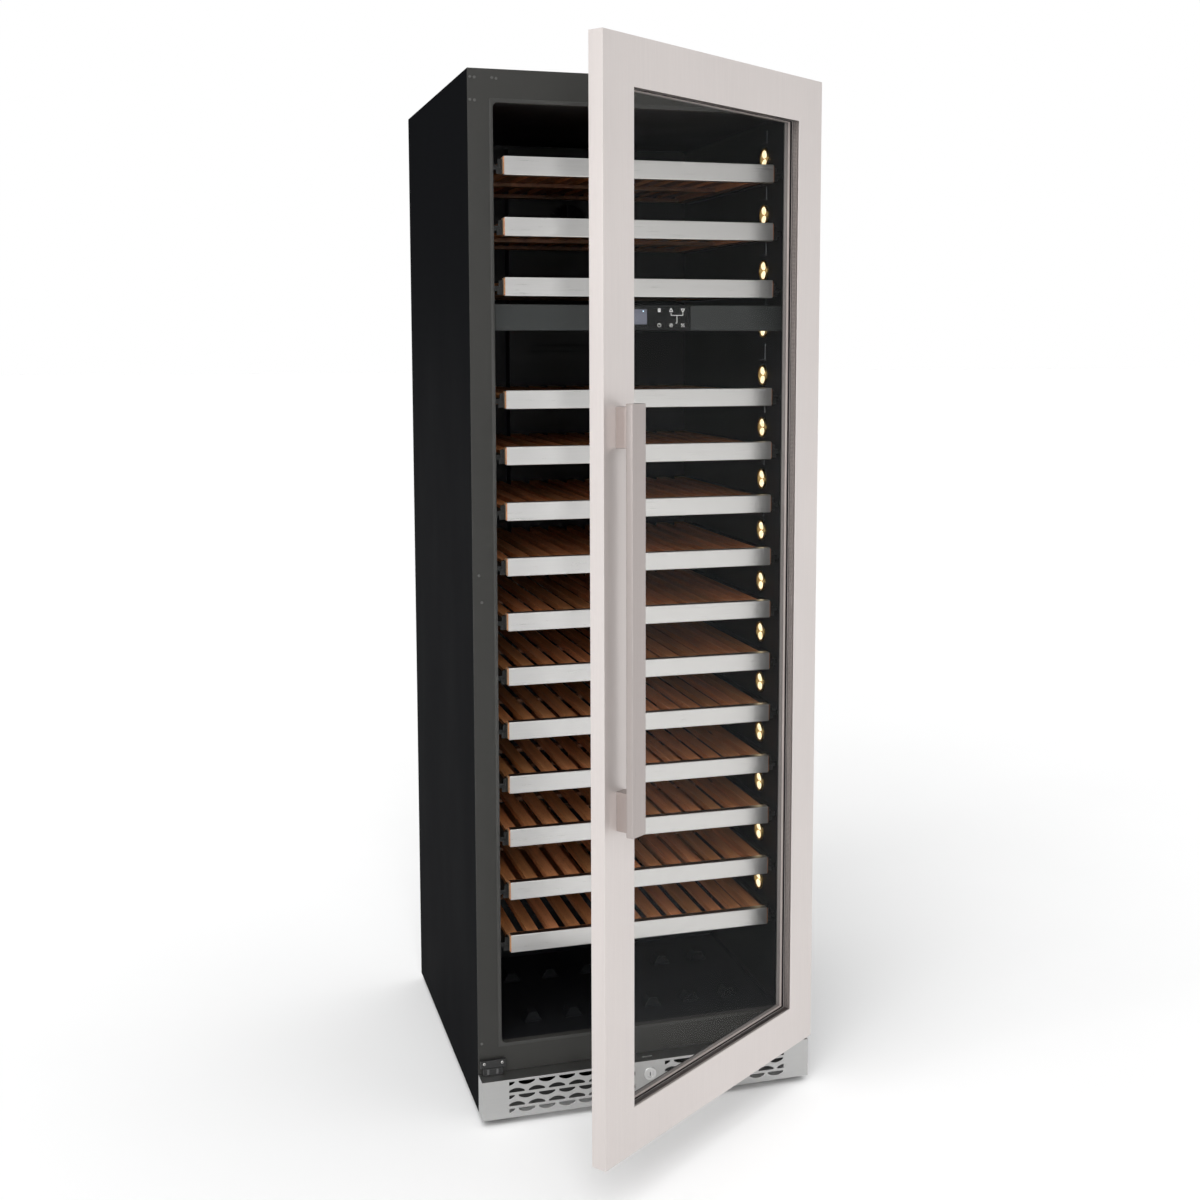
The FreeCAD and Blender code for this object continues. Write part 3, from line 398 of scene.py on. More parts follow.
def pressed_ribs(name, colour, pitch):
    """Aluminium strip with fine pressed ribs along Z, darker in the troughs with painted shade."""
    paint, tree, shader = new_paint(name, Metallic=1.0)
    place = make(tree, "TexCoord").outputs["Object"]
    height = make(tree, "SeparateXYZ", {0: place}).outputs["Z"]
    wave = maths(tree, "SINE", maths(tree, "MULTIPLY", height, 2 * math.pi / pitch))
    # painted shade: the colour falls to under half in the troughs of the ribs
    colours = [(0.2, shaded(colour, 0.45)), (0.8, colour)]
    tree.links.new(ramp(tree, fitted(tree, wave, 0, 1, -1, 1), colours), shader.inputs["Base Color"])
    tree.links.new(fitted(tree, wave, 0.5, 0.3, -1, 1), shader.inputs["Roughness"])
    tree.links.new(bump(tree, wave, 0.15 * MM), shader.inputs["Normal"])
    return paint


def rubber(name, colour):
    """Soft extruded seal, dull, with a faint bloom and a fine grain."""
    paint, tree, shader = new_paint(name, Specular_IOR_Level=0.3)
    dust = noise(tree, (40.0, 40.0, 14.0), 4.0)
    fine = noise(tree, (2200.0, 2200.0, 2200.0), 1.0)
    colours = [(0.3, shaded(colour, 0.8)), (0.7, shaded(colour, 1.35))]
    tree.links.new(ramp(tree, dust, colours), shader.inputs["Base Color"])
    tree.links.new(fitted(tree, dust, 0.55, 0.75), shader.inputs["Roughness"])
    tree.links.new(bump(tree, fine, 0.02 * MM), shader.inputs["Normal"])
    return paint


def zinc(name, colour):
    """Galvanised sheet with flat crystal spangles."""
    paint, tree, shader = new_paint(name, Metallic=0.9)
    cells = voronoi(tree, 110.0).outputs["Color"]
    grey = make(tree, "RGBToBW", {0: cells}).outputs[0]
    colours = [(0.2, shaded(colour, 0.85)), (0.8, shaded(colour, 1.1))]
    tree.links.new(ramp(tree, grey, colours), shader.inputs["Base Color"])
    tree.links.new(fitted(tree, grey, 0.38, 0.52, 0.2, 0.8), shader.inputs["Roughness"])
    return paint


def polished(name, colour, rough):
    """Plated metal with faint wipe marks."""
    paint, tree, shader = new_paint(name, Metallic=1.0)
    wipe = noise(tree, (160.0, 160.0, 160.0), 4.0)
    colours = [(0.3, shaded(colour, 0.9)), (0.7, colour)]
    tree.links.new(ramp(tree, wipe, colours), shader.inputs["Base Color"])
    tree.links.new(fitted(tree, wipe, rough[0], rough[1]), shader.inputs["Roughness"])
    return paint


def lamp_glow(name, core, rim, strength):
    """Frosted warm plastic lit from behind, with small prisms that break up the light."""
    paint, tree, shader = new_paint(name, Roughness=0.25, Emission_Strength=strength)
    prisms = voronoi(tree, 260.0).outputs["Distance"]
    warm = ramp(tree, prisms, [(0.15, core), (0.75, rim)])
    tree.links.new(warm, shader.inputs["Base Color"])
    tree.links.new(warm, shader.inputs["Emission Color"])
    tree.links.new(bump(tree, prisms, 0.3 * MM), shader.inputs["Normal"])
    return paint


def display_glass(name, colour):
    """Liquid-crystal window, unlit, with a faint painted glow of its own colour and a soft vertical change of
    tone.
    """
    paint, tree, shader = new_paint(name, Roughness=0.18)
    soft = noise(tree, (9.0, 9.0, 26.0), 1.0)
    tone = ramp(tree, soft, [(0.3, shaded(colour, 0.8)), (0.7, shaded(colour, 1.2))])
    tree.links.new(tone, shader.inputs["Base Color"])
    tree.links.new(tone, shader.inputs["Emission Color"])
    # painted glow: the unlit window gives off a little of its own colour
    shader.inputs["Emission Strength"].default_value = 0.25
    return paint


# from one inner slat of a shelf to the next
STICK_PITCH = 37.833 * MM

STEEL_DOOR = brushed_steel("brushed_door_steel", (0.70, 0.65, 0.63), "z", (0.42, 0.50), 0.03, 0.06, 0.6, 0.7)
STEEL_HANDLE = brushed_steel("brushed_handle_steel", (0.445, 0.40, 0.385), "z", (0.27, 0.35), 0.04, 0.02)
STEEL_SHELF = brushed_steel("brushed_shelf_steel", (0.67, 0.665, 0.655), "x", (0.26, 0.34), 0.03, 0.03)
STEEL_KICK = brushed_steel("brushed_kick_steel", (0.49, 0.49, 0.485), "x", (0.36, 0.44), 0.025, 0.02)
CABINET_BLACK = powder_coat("black_cabinet_paint", (0.0062, 0.0065, 0.0074), (0.50, 0.60), specular=0.002)
FLANGE_GREY = powder_coat("dark_grey_frame_paint", (0.0295, 0.029, 0.0265), (0.36, 0.46), 700.0, 0.02, 0.30)
FRAME_BEAD = moulded("grey_frame_bead", (0.040, 0.0395, 0.0370), (0.35, 0.45), 2200.0, 0.004, 0.35)
LINER_BLACK = moulded("black_liner_plastic", (0.0092, 0.0098, 0.0110), (0.34, 0.44), 1300.0, 0.006, 0.22)
# the ribs' black plastic is lightened to grey: painted highlight
RIB_PAINTED_HIGHLIGHT = moulded("liner_rib_painted_highlight", (0.105, 0.115, 0.130), (0.15, 0.24), 1300.0, 0.01, 0.5)
DOOR_BLACK = moulded("black_door_plastic", (0.011, 0.011, 0.011), (0.38, 0.5), specular=0.35)
FASCIA_GREY = moulded("dark_grey_fascia_plastic", (0.030, 0.0325, 0.032), (0.36, 0.46), 2200.0, 0.008, 0.25)
TOUCH_DARK = moulded("smoked_touch_cover", (0.011, 0.0115, 0.0115), (0.12, 0.16), 2600.0, 0.002, 0.12)
FOOT_BLACK = moulded("black_foot_plastic", (0.014, 0.014, 0.014), (0.45, 0.6))
FAN_BLACK = moulded("black_fan_plastic", (0.016, 0.016, 0.017), (0.4, 0.5))
FOAM_CREAM = moulded("cream_foam", (0.60, 0.50, 0.30), (0.85, 0.95), 500.0, 0.2, 0.1)
CATCH_RIB = moulded("grey_catch_rib", (0.10, 0.10, 0.10), (0.35, 0.45), 2000.0, 0.01, 0.5)
BRACKET_BLACK = powder_coat("black_bracket_paint", (0.013, 0.013, 0.013), (0.34, 0.44), 1400.0, 0.02, 0.5)
RAIL_BLACK = powder_coat("black_slide_paint", (0.009, 0.009, 0.0085), (0.34, 0.46), 1500.0, 0.01, 0.35)
COMPRESSOR_BLACK = powder_coat("black_compressor_paint", (0.01, 0.01, 0.01), (0.25, 0.35), 300.0, 0.05, 0.5)
GALVANISED = zinc("galvanised_sheet", (0.52, 0.53, 0.54))
CHROME = polished("lock_chrome", (0.80, 0.80, 0.80), (0.08, 0.16))
PIN_STEEL = polished("pin_steel", (0.55, 0.54, 0.52), (0.2, 0.3))
SCREW_STEEL = polished("screw_steel", (0.58, 0.57, 0.55), (0.25, 0.38))
FIN_ALU = polished("condenser_aluminium", (0.62, 0.63, 0.64), (0.3, 0.42))
# a flat pinkish grey standing for the steel's reflection in the spacer: painted reflection
SPACER_PAINTED_REFLECTION = moulded("spacer_painted_reflection", (0.40, 0.35, 0.335), (0.40, 0.50), 1800.0, 0.004, 0.3)
SPACER_RIBBED = pressed_ribs("spacer_ribbed", (0.34, 0.30, 0.285), 2.2 * MM)
REVEAL_GREY = moulded("grey_reveal_strip", (0.175, 0.160, 0.155), (0.40, 0.50), 1800.0, 0.006, 0.3)
GOLD = polished("lamp_gold_ring", (0.60, 0.40, 0.14), (0.24, 0.34))
# the reflector dish glows: painted lamp light on the reflector
DISH_PAINTED_GLOW = lamp_glow("lamp_dish", (0.62, 0.44, 0.16), (0.34, 0.21, 0.065), 0.55)
LENS = lamp_glow("lamp_lens", (1.0, 0.92, 0.70), (0.90, 0.68, 0.38), 1.3)
BEECH_ALONG = beech("beech_front_to_back", "y")
BEECH_ACROSS = beech("beech_side_to_side", "x")
# a darker copy of the beech: painted shade for the shelves' undersides and cross rails
BEECH_PAINTED_SHADE = beech("beech_underside_painted_shade", "y", 0.3)
BEECH_END = end_grain("beech_end")
GLASS = clear_glass("clear_glazing")
SEAL = rubber("black_seal_rubber", (0.016, 0.016, 0.017))
DISPLAY_PAINTED_GLOW = display_glass("display_window", (0.095, 0.100, 0.127))
PRINT_GREY = moulded("printed_symbol_grey", (0.90, 0.90, 0.88), (0.4, 0.5), 2000.0, 0.001)
PLUG_GREY = moulded("hole_plug_plastic", (0.075, 0.074, 0.070), (0.3, 0.4), 2400.0, 0.004, 0.5)
# near-black stand-in for the shade in recesses: painted shade
RECESS_PAINTED_SHADE = moulded("recess_painted_shade", (0.004, 0.004, 0.004), (0.6, 0.7))
INDICATOR = lamp_glow("indicator_light", (0.85, 0.95, 1.0), (0.55, 0.80, 1.0), 1.2)


# ======== shelves ========

TRIM_HALF = 235 * MM
TRIM_DEPTH = 14 * MM
SHEET = 1.2 * MM
TRIM_BEND = 1.8 * MM
FRONT_RAIL = 17.8 * MM
SLAT_DROP = 8 * MM
SLAT_THICK = 11 * MM
SLAT_WIDE = 21 * MM
SIDE_SLAT_WIDE = 20 * MM
SLAT_COUNT = 11
CROSS_RAIL = 20 * MM
MIDDLE_RAIL_BACK = 246.8 * MM
RACK_UNDER = 26 * MM
FRONT_EDGE = 1.5 * MM
STICK_EDGE = 1.3 * MM
# slots of the beech after the first, which is for sticks that run front to back; the last is a darker copy of
# the beech for painted shade underneath
ACROSS, END, PAINTED_SHADE_SLOT = 1, 2, 3
SLIDE_IN = 8 * MM
SLIDE_DROP = 18 * MM
SLIDE_HALF_TALL = 4 * MM
GROOVE = 1.6 * MM
SLIDE_CLEAR = 0.3 * MM
HEAD_THICK = 2 * MM
HEAD_EDGE = 0.5 * MM
# reach, then the lower and upper edges below the shelf's top
HEAD_PLATES = [(244.5 * MM, 18 * MM, 5 * MM), (247 * MM, 29 * MM, 19 * MM)]
WEB_OUT = 2.4 * MM
WEB_Y = (-1 * MM, 14 * MM)
WEB_DROP = (28 * MM, 5 * MM)


def shelf_rack(shelf):
    """Beech sticks with rounded edges: front rail, cross rails, side slats and inner slats."""
    low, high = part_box(shelf + "_rack")
    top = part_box(shelf + "_front")[1].z
    slat_top = top - SLAT_DROP
    slat_low = slat_top - SLAT_THICK
    front = low.y + FRONT_RAIL
    inner = high.x - SIDE_SLAT_WIDE
    under = top - RACK_UNDER
    bm = bmesh.new()
    add_box(bm, (low.x, low.y, low.z), (high.x, front, high.z), FRONT_EDGE, material=ACROSS)
    for face in bm.faces:
        if abs(face.normal.x) > 0.9:
            face.material_index = END
    # the cross rails under the slats take the darker beech all over: painted shade
    for y in (low.y + MIDDLE_RAIL_BACK, high.y - CROSS_RAIL):
        add_box(bm, (-inner, y, under), (inner, y + CROSS_RAIL, slat_low), STICK_EDGE, material=PAINTED_SHADE_SLOT)
    for x in (low.x, inner):
        add_box(bm, (x, front, under), (x + SIDE_SLAT_WIDE, high.y, slat_top), STICK_EDGE)
    for i in range(SLAT_COUNT):
        x = (i - (SLAT_COUNT - 1) / 2) * STICK_PITCH - SLAT_WIDE / 2
        add_box(bm, (x, front, slat_low), (x + SLAT_WIDE, high.y, slat_top), STICK_EDGE)
    # faces that point down take the darker beech: painted shade underneath
    for face in bm.faces:
        if face.normal.z < -0.7:
            face.material_index = PAINTED_SHADE_SLOT
    piece(shelf + "_beech", bm, shelf, [BEECH_ALONG, BEECH_ACROSS, BEECH_END, BEECH_PAINTED_SHADE],
          [shelf + "_rack"])


def trim_outline(y0, low, high):
    """Cross-section of the folded steel cap: a channel open to the back, with rounded bends."""
    back = y0 + TRIM_DEPTH
    outer = [(back, low)] + arc((y0 + TRIM_BEND, low + TRIM_BEND), TRIM_BEND, -90, -180, 4)
    outer += arc((y0 + TRIM_BEND, high - TRIM_BEND), TRIM_BEND, 180, 90, 4) + [(back, high)]
    inside = TRIM_BEND - SHEET
    inner = [(back, high - SHEET)] + arc((y0 + TRIM_BEND, high - TRIM_BEND), inside, 90, 180, 3)
    inner += arc((y0 + TRIM_BEND, low + TRIM_BEND), inside, 180, 270, 3) + [(back, low + SHEET)]
    return outer + inner


def shelf_trim(shelf):
    """Brushed steel cap of the front rail."""
    low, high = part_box(shelf + "_front")
    bm = bmesh.new()
    add_prism(bm, trim_outline(low.y, low.z, high.z), 0, -TRIM_HALF, TRIM_HALF)
    piece(shelf + "_steel_trim", bm, shelf, [STEEL_SHELF], [shelf + "_front"])


def shelf_slides(shelf):
    """Moving slide members: a folded strip with a ball groove, and a stepped plate at its front."""
    low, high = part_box(shelf + "_front")
    rack_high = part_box(shelf + "_rack")[1]
    middle = high.z - SLIDE_DROP
    start = low.y + SLIDE_IN
    x_in, x_out = rack_high.x, high.x
    bottom, top = middle - SLIDE_HALF_TALL, middle + SLIDE_HALF_TALL
    section = [(x_in, bottom), (x_out, bottom), (x_out, middle - GROOVE), (x_out - GROOVE, middle - GROOVE / 2),
               (x_out - GROOVE, middle + GROOVE / 2), (x_out, middle + GROOVE), (x_out, top), (x_in, top)]
    bm = bmesh.new()
    for side in (-1, 1):
        add_prism(bm, [(side * x, z) for x, z in section], 1, start + HEAD_THICK / 2, rack_high.y)
        for reach, drop_low, drop_high in HEAD_PLATES:
            add_side_box(bm, side, (x_in + SLIDE_CLEAR, reach), (start, start + HEAD_THICK),
                         (high.z - drop_low, high.z - drop_high), HEAD_EDGE)
        add_side_box(bm, side, (x_in + SLIDE_CLEAR, x_in + WEB_OUT), (start + WEB_Y[0], start + WEB_Y[1]),
                     (high.z - WEB_DROP[0], high.z - WEB_DROP[1]), HEAD_EDGE)
    piece(shelf + "_slide_members", bm, shelf, [RAIL_BLACK])


for shelf_name in SHELVES:
    shelf_rack(shelf_name)
    shelf_trim(shelf_name)
    shelf_slides(shelf_name)


# ======== wall lamps and liner details ========

LAMP_LOW, LAMP_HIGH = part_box("wall_lamps")
LAMP_Y = (LAMP_LOW.y + LAMP_HIGH.y) / 2
LAMP_RISE = 20 * MM
DISH_R = 16.2 * MM
RING_R = 19 * MM
BULB_UP = 8.0 * MM
BULB_REACH = (3.4 * MM, 11 * MM, 7.4 * MM)
BULB_SUNK = 0.6 * MM
SPARE_LAMP_Z = 1354 * MM
LAMP_HEIGHTS = [top + LAMP_RISE for top in SHELF_TOPS] + [SPARE_LAMP_Z]
RIB_Y = LAMP_Y - 9 * MM
RIB_HALF = 1.6 * MM
RIB_X = (WALL_X - 1.8 * MM, WALL_X + 0.4 * MM)
RIB_ABOVE_RING = 7 * MM
RIB_LEAST = 8 * MM
RIB_FOOT_BACK = 30 * MM
RIB_FOOT_TALL = 3 * MM
RAIL_FOOT_DROP = 29 * MM
FASCIA_FOOT_DROP = 22 * MM
CEILING_GAP = 14 * MM


def add_bulb(bm, centre, reach):
    """A smooth oval bulge with a reach along each axis."""
    place = Matrix.Translation(centre) @ Matrix.Diagonal((*reach, 1.0))
    bmesh.ops.create_uvsphere(bm, u_segments=20, v_segments=12, radius=1.0, matrix=place)


def wall_lamps():
    """Gold rings round dished reflectors along both walls, each with two glowing lenses; the reflectors glow
    too, with painted lamp light.
    """
    rings, dishes, lenses = bmesh.new(), bmesh.new(), bmesh.new()
    ring_shape = [(DISH_R - 0.6 * MM, 0.0), (RING_R, 0.0), (RING_R, 2.6 * MM), (RING_R - 0.6 * MM, 3.6 * MM),
                  (RING_R - 1.5 * MM, 4.0 * MM), (DISH_R + 0.2 * MM, 3.5 * MM), (DISH_R - 0.6 * MM, 2.2 * MM)]
    dish_shape = [(0.0, 0.2 * MM), (DISH_R, 0.2 * MM), (DISH_R, 2.6 * MM), (DISH_R * 0.8, 1.7 * MM),
                  (DISH_R * 0.4, 1.1 * MM), (0.0, 1.0 * MM)]
    for side in (-1, 1):
        for z in LAMP_HEIGHTS:
            base = (side * WALL_X, LAMP_Y, z)
            add_lathe(rings, ring_shape, base, (-side, 0, 0), 40, True)
            add_lathe(dishes, dish_shape, base, (-side, 0, 0), 40)
            for up in (-BULB_UP, BULB_UP):
                add_bulb(lenses, (side * (WALL_X - BULB_SUNK), LAMP_Y, z + up), BULB_REACH)
    piece("lamp_rings", rings, "cabinet", [GOLD], ["wall_lamps"], crease=60)
    piece("lamp_dishes", dishes, "cabinet", [DISH_PAINTED_GLOW], crease=60)
    piece("lamp_lenses", lenses, "cabinet", [LENS], crease=60)


def liner_ribs():
    """Moulded ribs above each lamp, where the liner carries the lamp's wire, turned back at the foot; their
    light grey colour is a painted highlight.
    """
    bm = bmesh.new()
    rail_feet = [top - RAIL_FOOT_DROP for top in SHELF_TOPS] + [FASCIA_LOW.z - FASCIA_FOOT_DROP]
    ceiling = LINER_HIGH.z - LINER_WALL - CEILING_GAP
    for z in LAMP_HEIGHTS:
        start = z + RING_R + RIB_ABOVE_RING
        end = min([foot for foot in rail_feet if foot > z] + [ceiling])
        if end - start < RIB_LEAST:
            continue
        for side in (-1, 1):
            add_side_box(bm, side, RIB_X, (RIB_Y - RIB_HALF, RIB_Y + RIB_HALF), (start, end), 1.2 * MM, 3)
            add_side_box(bm, side, RIB_X, (RIB_Y + RIB_HALF, RIB_Y + RIB_FOOT_BACK),
                         (start, start + RIB_FOOT_TALL), 1.0 * MM, 3)
    piece("liner_ribs", bm, "cabinet", [RIB_PAINTED_HIGHLIGHT])


def mouth_lip():
    """Rounded bead that covers the joint between the painted frame and the liner."""
    # outward, Y and corner radius, in millimetres
    shape = [(3.2, 0.0, 3.0), (3.0, -0.6, 3.1), (2.2, -1.0, 3.8), (-1.8, -1.0, 7.4), (-2.7, -0.6, 8.3),
             (-3.0, 0.2, 8.8), (-3.0, 11.9, 8.8), (-0.05, 11.9, 5.0), (-0.05, 0.0, 5.0)]
    profile = [(out * MM, FLANGE_Y + y * MM, radius * MM) for out, y, radius in shape]
    bm = bmesh.new()
    add_rounded_frame(bm, profile, LINER_HIGH.x, LINER_LOW.z, LINER_HIGH.z)
    piece("mouth_lip", bm, "cabinet", [FRAME_BEAD])


mouth_lip()
wall_lamps()
liner_ribs()


# ======== control fascia ========

DISPLAY_X = (-52 * MM, 8 * MM)
DISPLAY_FOOT = 9.5 * MM
DISPLAY_HEAD = 5.5 * MM
KEY_X = (30 * MM, 51 * MM, 72 * MM)
KEY_ROW_UP = 1381.7 * MM
KEY_ROW_LOW = 1356.5 * MM
STROKE = 1.0 * MM
THIN_STROKE = 0.8 * MM
MENU_STROKE = 1.4 * MM
MENU_STEP = 2.1 * MM
PAIR_START = 4.6 * MM
PAIR_DROP = 8.5 * MM
PAIR_STEM = 13 * MM
PRINT_OUT = 0.10 * MM
PRINT_IN = 0.05 * MM
DISPLAY_OUT = 0.08 * MM


def add_stroke(bm, points, closed=False, width=STROKE):
    """A printed line through points (X, Z) on the touch cover."""
    y0 = TOUCH_LOW.y - PRINT_OUT
    y1 = TOUCH_LOW.y + PRINT_IN
    pairs = list(zip(points, points[1:] + points[:1]))
    for (xa, za), (xb, zb) in pairs if closed else pairs[:-1]:
        run = Vector((xb - xa, 0, zb - za))
        side = Vector((-run.z, 0, run.x)).normalized() * width / 2
        over = run.normalized() * width * 0.35
        a, b = Vector((xa, 0, za)) - over, Vector((xb, 0, zb)) + over
        corners = [a + side, b + side, b - side, a - side]
        add_prism(bm, [(c.x, c.z) for c in corners], 1, y0, y1)


def touch_symbols():
    """Generic key symbols: menu, up, down, power, light and unit, with the line that pairs two keys."""
    bm = bmesh.new()
    menu, up, down = KEY_X
    z = KEY_ROW_UP
    for step in range(3):
        level = z + (1 - step) * MENU_STEP
        add_stroke(bm, [(menu - 1.9 * MM, level), (menu + 1.9 * MM, level)], width=MENU_STROKE)
    for x, flip in ((up, 1), (down, -1)):
        add_stroke(bm, [(x - 2.9 * MM, z - flip * 2.2 * MM), (x + 2.9 * MM, z - flip * 2.2 * MM),
                        (x, z + flip * 3.4 * MM)], True)
    start, line = z - PAIR_START, z - PAIR_DROP
    add_stroke(bm, [(up, start), (up, line), (down, line), (down, start)], width=THIN_STROKE)
    middle, end = (up + down) / 2, line - PAIR_STEM
    add_stroke(bm, [(middle, line), (middle, end), (middle - 2 * MM, end)], width=THIN_STROKE)
    z = KEY_ROW_LOW
    add_stroke(bm, arc((menu, z), 2.9 * MM, 110, 430, 18)[:-1])
    add_stroke(bm, [(menu, z + 0.8 * MM), (menu, z + 3.2 * MM)])
    add_stroke(bm, arc((up, z), 1.5 * MM, 0, 360, 14)[:-1], True)
    for k in range(8):
        inner, outer = (arc((up, z), r * MM, 45 * k, 45 * k, 1)[0] for r in (2.5, 3.4))
        add_stroke(bm, [inner, outer], width=THIN_STROKE)
    add_stroke(bm, [(down - 2.2 * MM, z - 2.6 * MM), (down + 2.2 * MM, z + 2.6 * MM)])
    for side in (-1, 1):
        spot = (down + side * 2.1 * MM, z - side * 1.7 * MM)
        add_stroke(bm, arc(spot, 0.9 * MM, 0, 360, 10)[:-1], True, THIN_STROKE)
    piece("touch_symbols", bm, "cabinet", [PRINT_GREY])


def display_window():
    """Liquid-crystal window behind the touch cover, with one indicator."""
    bm = bmesh.new()
    low, high = TOUCH_LOW.z + DISPLAY_FOOT, TOUCH_HIGH.z - DISPLAY_HEAD
    y = TOUCH_LOW.y
    add_box(bm, (DISPLAY_X[0], y - DISPLAY_OUT, low), (DISPLAY_X[1], y + 0.4 * MM, high), 0.05 * MM, 1)
    piece("display_window", bm, "cabinet", [DISPLAY_PAINTED_GLOW])
    dot = bmesh.new()
    spot = (DISPLAY_X[1] - 6.5 * MM, y - DISPLAY_OUT, high - 3.2 * MM)
    bead = [(0.0, -0.1 * MM), (1.0 * MM, -0.1 * MM), (1.0 * MM, 0.12 * MM), (0.0, 0.2 * MM)]
    add_lathe(dot, bead, spot, (0, -1, 0), 16)
    piece("display_indicator", dot, "cabinet", [INDICATOR])


touch_symbols()
display_window()


# ======== fasteners, hinges and feet ========

SCREW_R = 3.0 * MM
CATCH_SCREW_R = 2.6 * MM
SCREW_TALL = 1.4 * MM
PLATE = 4 * MM
PLATE_X = (262 * MM, 293 * MM)
TOP_PLATE_TALL = 33 * MM
BOTTOM_PLATE_TALL = 26 * MM
ARM_THICK = 3 * MM
ARM_EYE_R = 8 * MM
CATCH_PLATE = 8.5 * MM
CATCH_PLATE_X = (-295 * MM, -251 * MM)
CATCH_PLATE_Z = (92 * MM, 106 * MM)
CATCH_FOOT = 10 * MM
CATCH_FOOT_X = (-291 * MM, -256 * MM)
CATCH_FOOT_TOP = 92.5 * MM
CATCH_RIB_X = (-284 * MM, -268 * MM)
CATCH_RIB_Y = (10.8 * MM, 9 * MM)
CATCH_RIB_WIDE = 3.5 * MM
CATCH_RIB_TOP = 91 * MM
# (X, Z) in millimetres
HINGE_SCREWS = [(267, 1736), (267, 1754), (267, 88), (267, 100)]
CATCH_SCREWS = [(-288.6, 101), (-257.4, 101)]
PLUGS = [(-293, 1751), (-285.5, 1750.5), (-257, 1751), (-250, 1750), (-293, 1715), (-285.5, 1714.5),
         (-286.8, 943), (-282.5, 898), (-291, 134)]


def add_screw(heads, recesses, spot, axis, radius=SCREW_R):
    """A pan head with a cross recess, drawn as a near-black cross on the head: painted shade."""
    tall = SCREW_TALL
    head = [(0.0, -0.2 * MM), (radius, -0.2 * MM), (radius, 0.35 * tall), (radius * 0.92, 0.72 * tall),
            (radius * 0.7, 0.95 * tall), (0.0, tall)]
    add_lathe(heads, head, spot, axis, 24)
    turn = Vector((0, 0, 1)).rotation_difference(Vector(axis)).to_matrix().to_4x4()
    for quarter in (0, 90):
        cross = bmesh.new()
        long, wide = radius * 0.55, radius * 0.12
        add_box(cross, (-long, -wide, tall * 0.55), (long, wide, tall + 0.03 * MM))
        cross.transform(Matrix.Translation(spot) @ turn @ Matrix.Rotation(math.radians(45 + quarter), 4, "Z"))
        mesh = bpy.data.meshes.new("cross")
        cross.to_mesh(mesh)
        cross.free()
        recesses.from_mesh(mesh)
        bpy.data.meshes.remove(mesh)


def hinge_outline(reach, eye_radius):
    """Plan of a hinge arm: straight sides from the frame and a round eye at the pin."""
    left, right = PIVOT.x - eye_radius, PIVOT.x + eye_radius - 1 * MM
    eye = arc((PIVOT.x, PIVOT.y), eye_radius, -30, -180, 12)
    shoulder = PIVOT.y - eye_radius * math.sin(math.radians(30))
    return [(left, reach), (right, reach), (right, shoulder)] + eye[1:]


def hinges():
    """Hinge plates with their arms, and the catch bracket at the free side."""
    bm = bmesh.new()
    wall = FLANGE_Y
    low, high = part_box("hinge_brackets")
    for z0, z1, arm_z in ((high.z - TOP_PLATE_TALL, high.z, high.z - ARM_THICK),
                          (low.z, low.z + BOTTOM_PLATE_TALL, low.z)):
        add_box(bm, (PLATE_X[0], wall - PLATE, z0), (PLATE_X[1], wall, z1), 0.6 * MM)
        add_prism(bm, hinge_outline(wall, ARM_EYE_R), 2, arm_z, arm_z + ARM_THICK)
    add_box(bm, (CATCH_PLATE_X[0], wall - CATCH_PLATE, CATCH_PLATE_Z[0]),
            (CATCH_PLATE_X[1], wall, CATCH_PLATE_Z[1]), 1.2 * MM, 3)
    foot_left, foot_right = CATCH_FOOT_X
    add_box(bm, (foot_left, wall - CATCH_FOOT, low.z), (foot_right, wall, CATCH_FOOT_TOP), 1.0 * MM, 3)
    piece("hinge_plates_and_catch", bm, "cabinet", [BRACKET_BLACK], ["hinge_brackets"])
    ribs = bmesh.new()
    for x in CATCH_RIB_X:
        add_box(ribs, (x, wall - CATCH_RIB_Y[0], low.z + 2 * MM),
                (x + CATCH_RIB_WIDE, wall - CATCH_RIB_Y[1], CATCH_RIB_TOP), 0.6 * MM)
    piece("catch_ribs", ribs, "cabinet", [CATCH_RIB])
    heads, recesses = bmesh.new(), bmesh.new()
    for x, z in HINGE_SCREWS:
        add_screw(heads, recesses, (x * MM, wall - PLATE, z * MM), (0, -1, 0))
    for x, z in CATCH_SCREWS:
        add_screw(heads, recesses, (x * MM, wall - CATCH_PLATE, z * MM), (0, -1, 0), CATCH_SCREW_R)
    piece("hinge_screws", heads, "cabinet", [SCREW_STEEL])
    # near-black crosses on the screw heads: painted shade of the recesses
    piece("hinge_screw_recesses", recesses, "cabinet", [RECESS_PAINTED_SHADE])


def hole_plugs():
    """Press-in plugs in the frame's spare hinge and panel holes."""
    bm = bmesh.new()
    shape = [(0.0, -0.3 * MM), (2.3 * MM, -0.3 * MM), (2.3 * MM, 0.25 * MM), (2.0 * MM, 0.6 * MM),
             (1.1 * MM, 0.75 * MM), (0.9 * MM, 0.6 * MM), (0.0, 0.6 * MM)]
    for x, z in PLUGS:
        add_lathe(bm, shape, (x * MM, FLANGE_Y, z * MM), (0, -1, 0), 20)
    piece("frame_hole_plugs", bm, "cabinet", [PLUG_GREY])


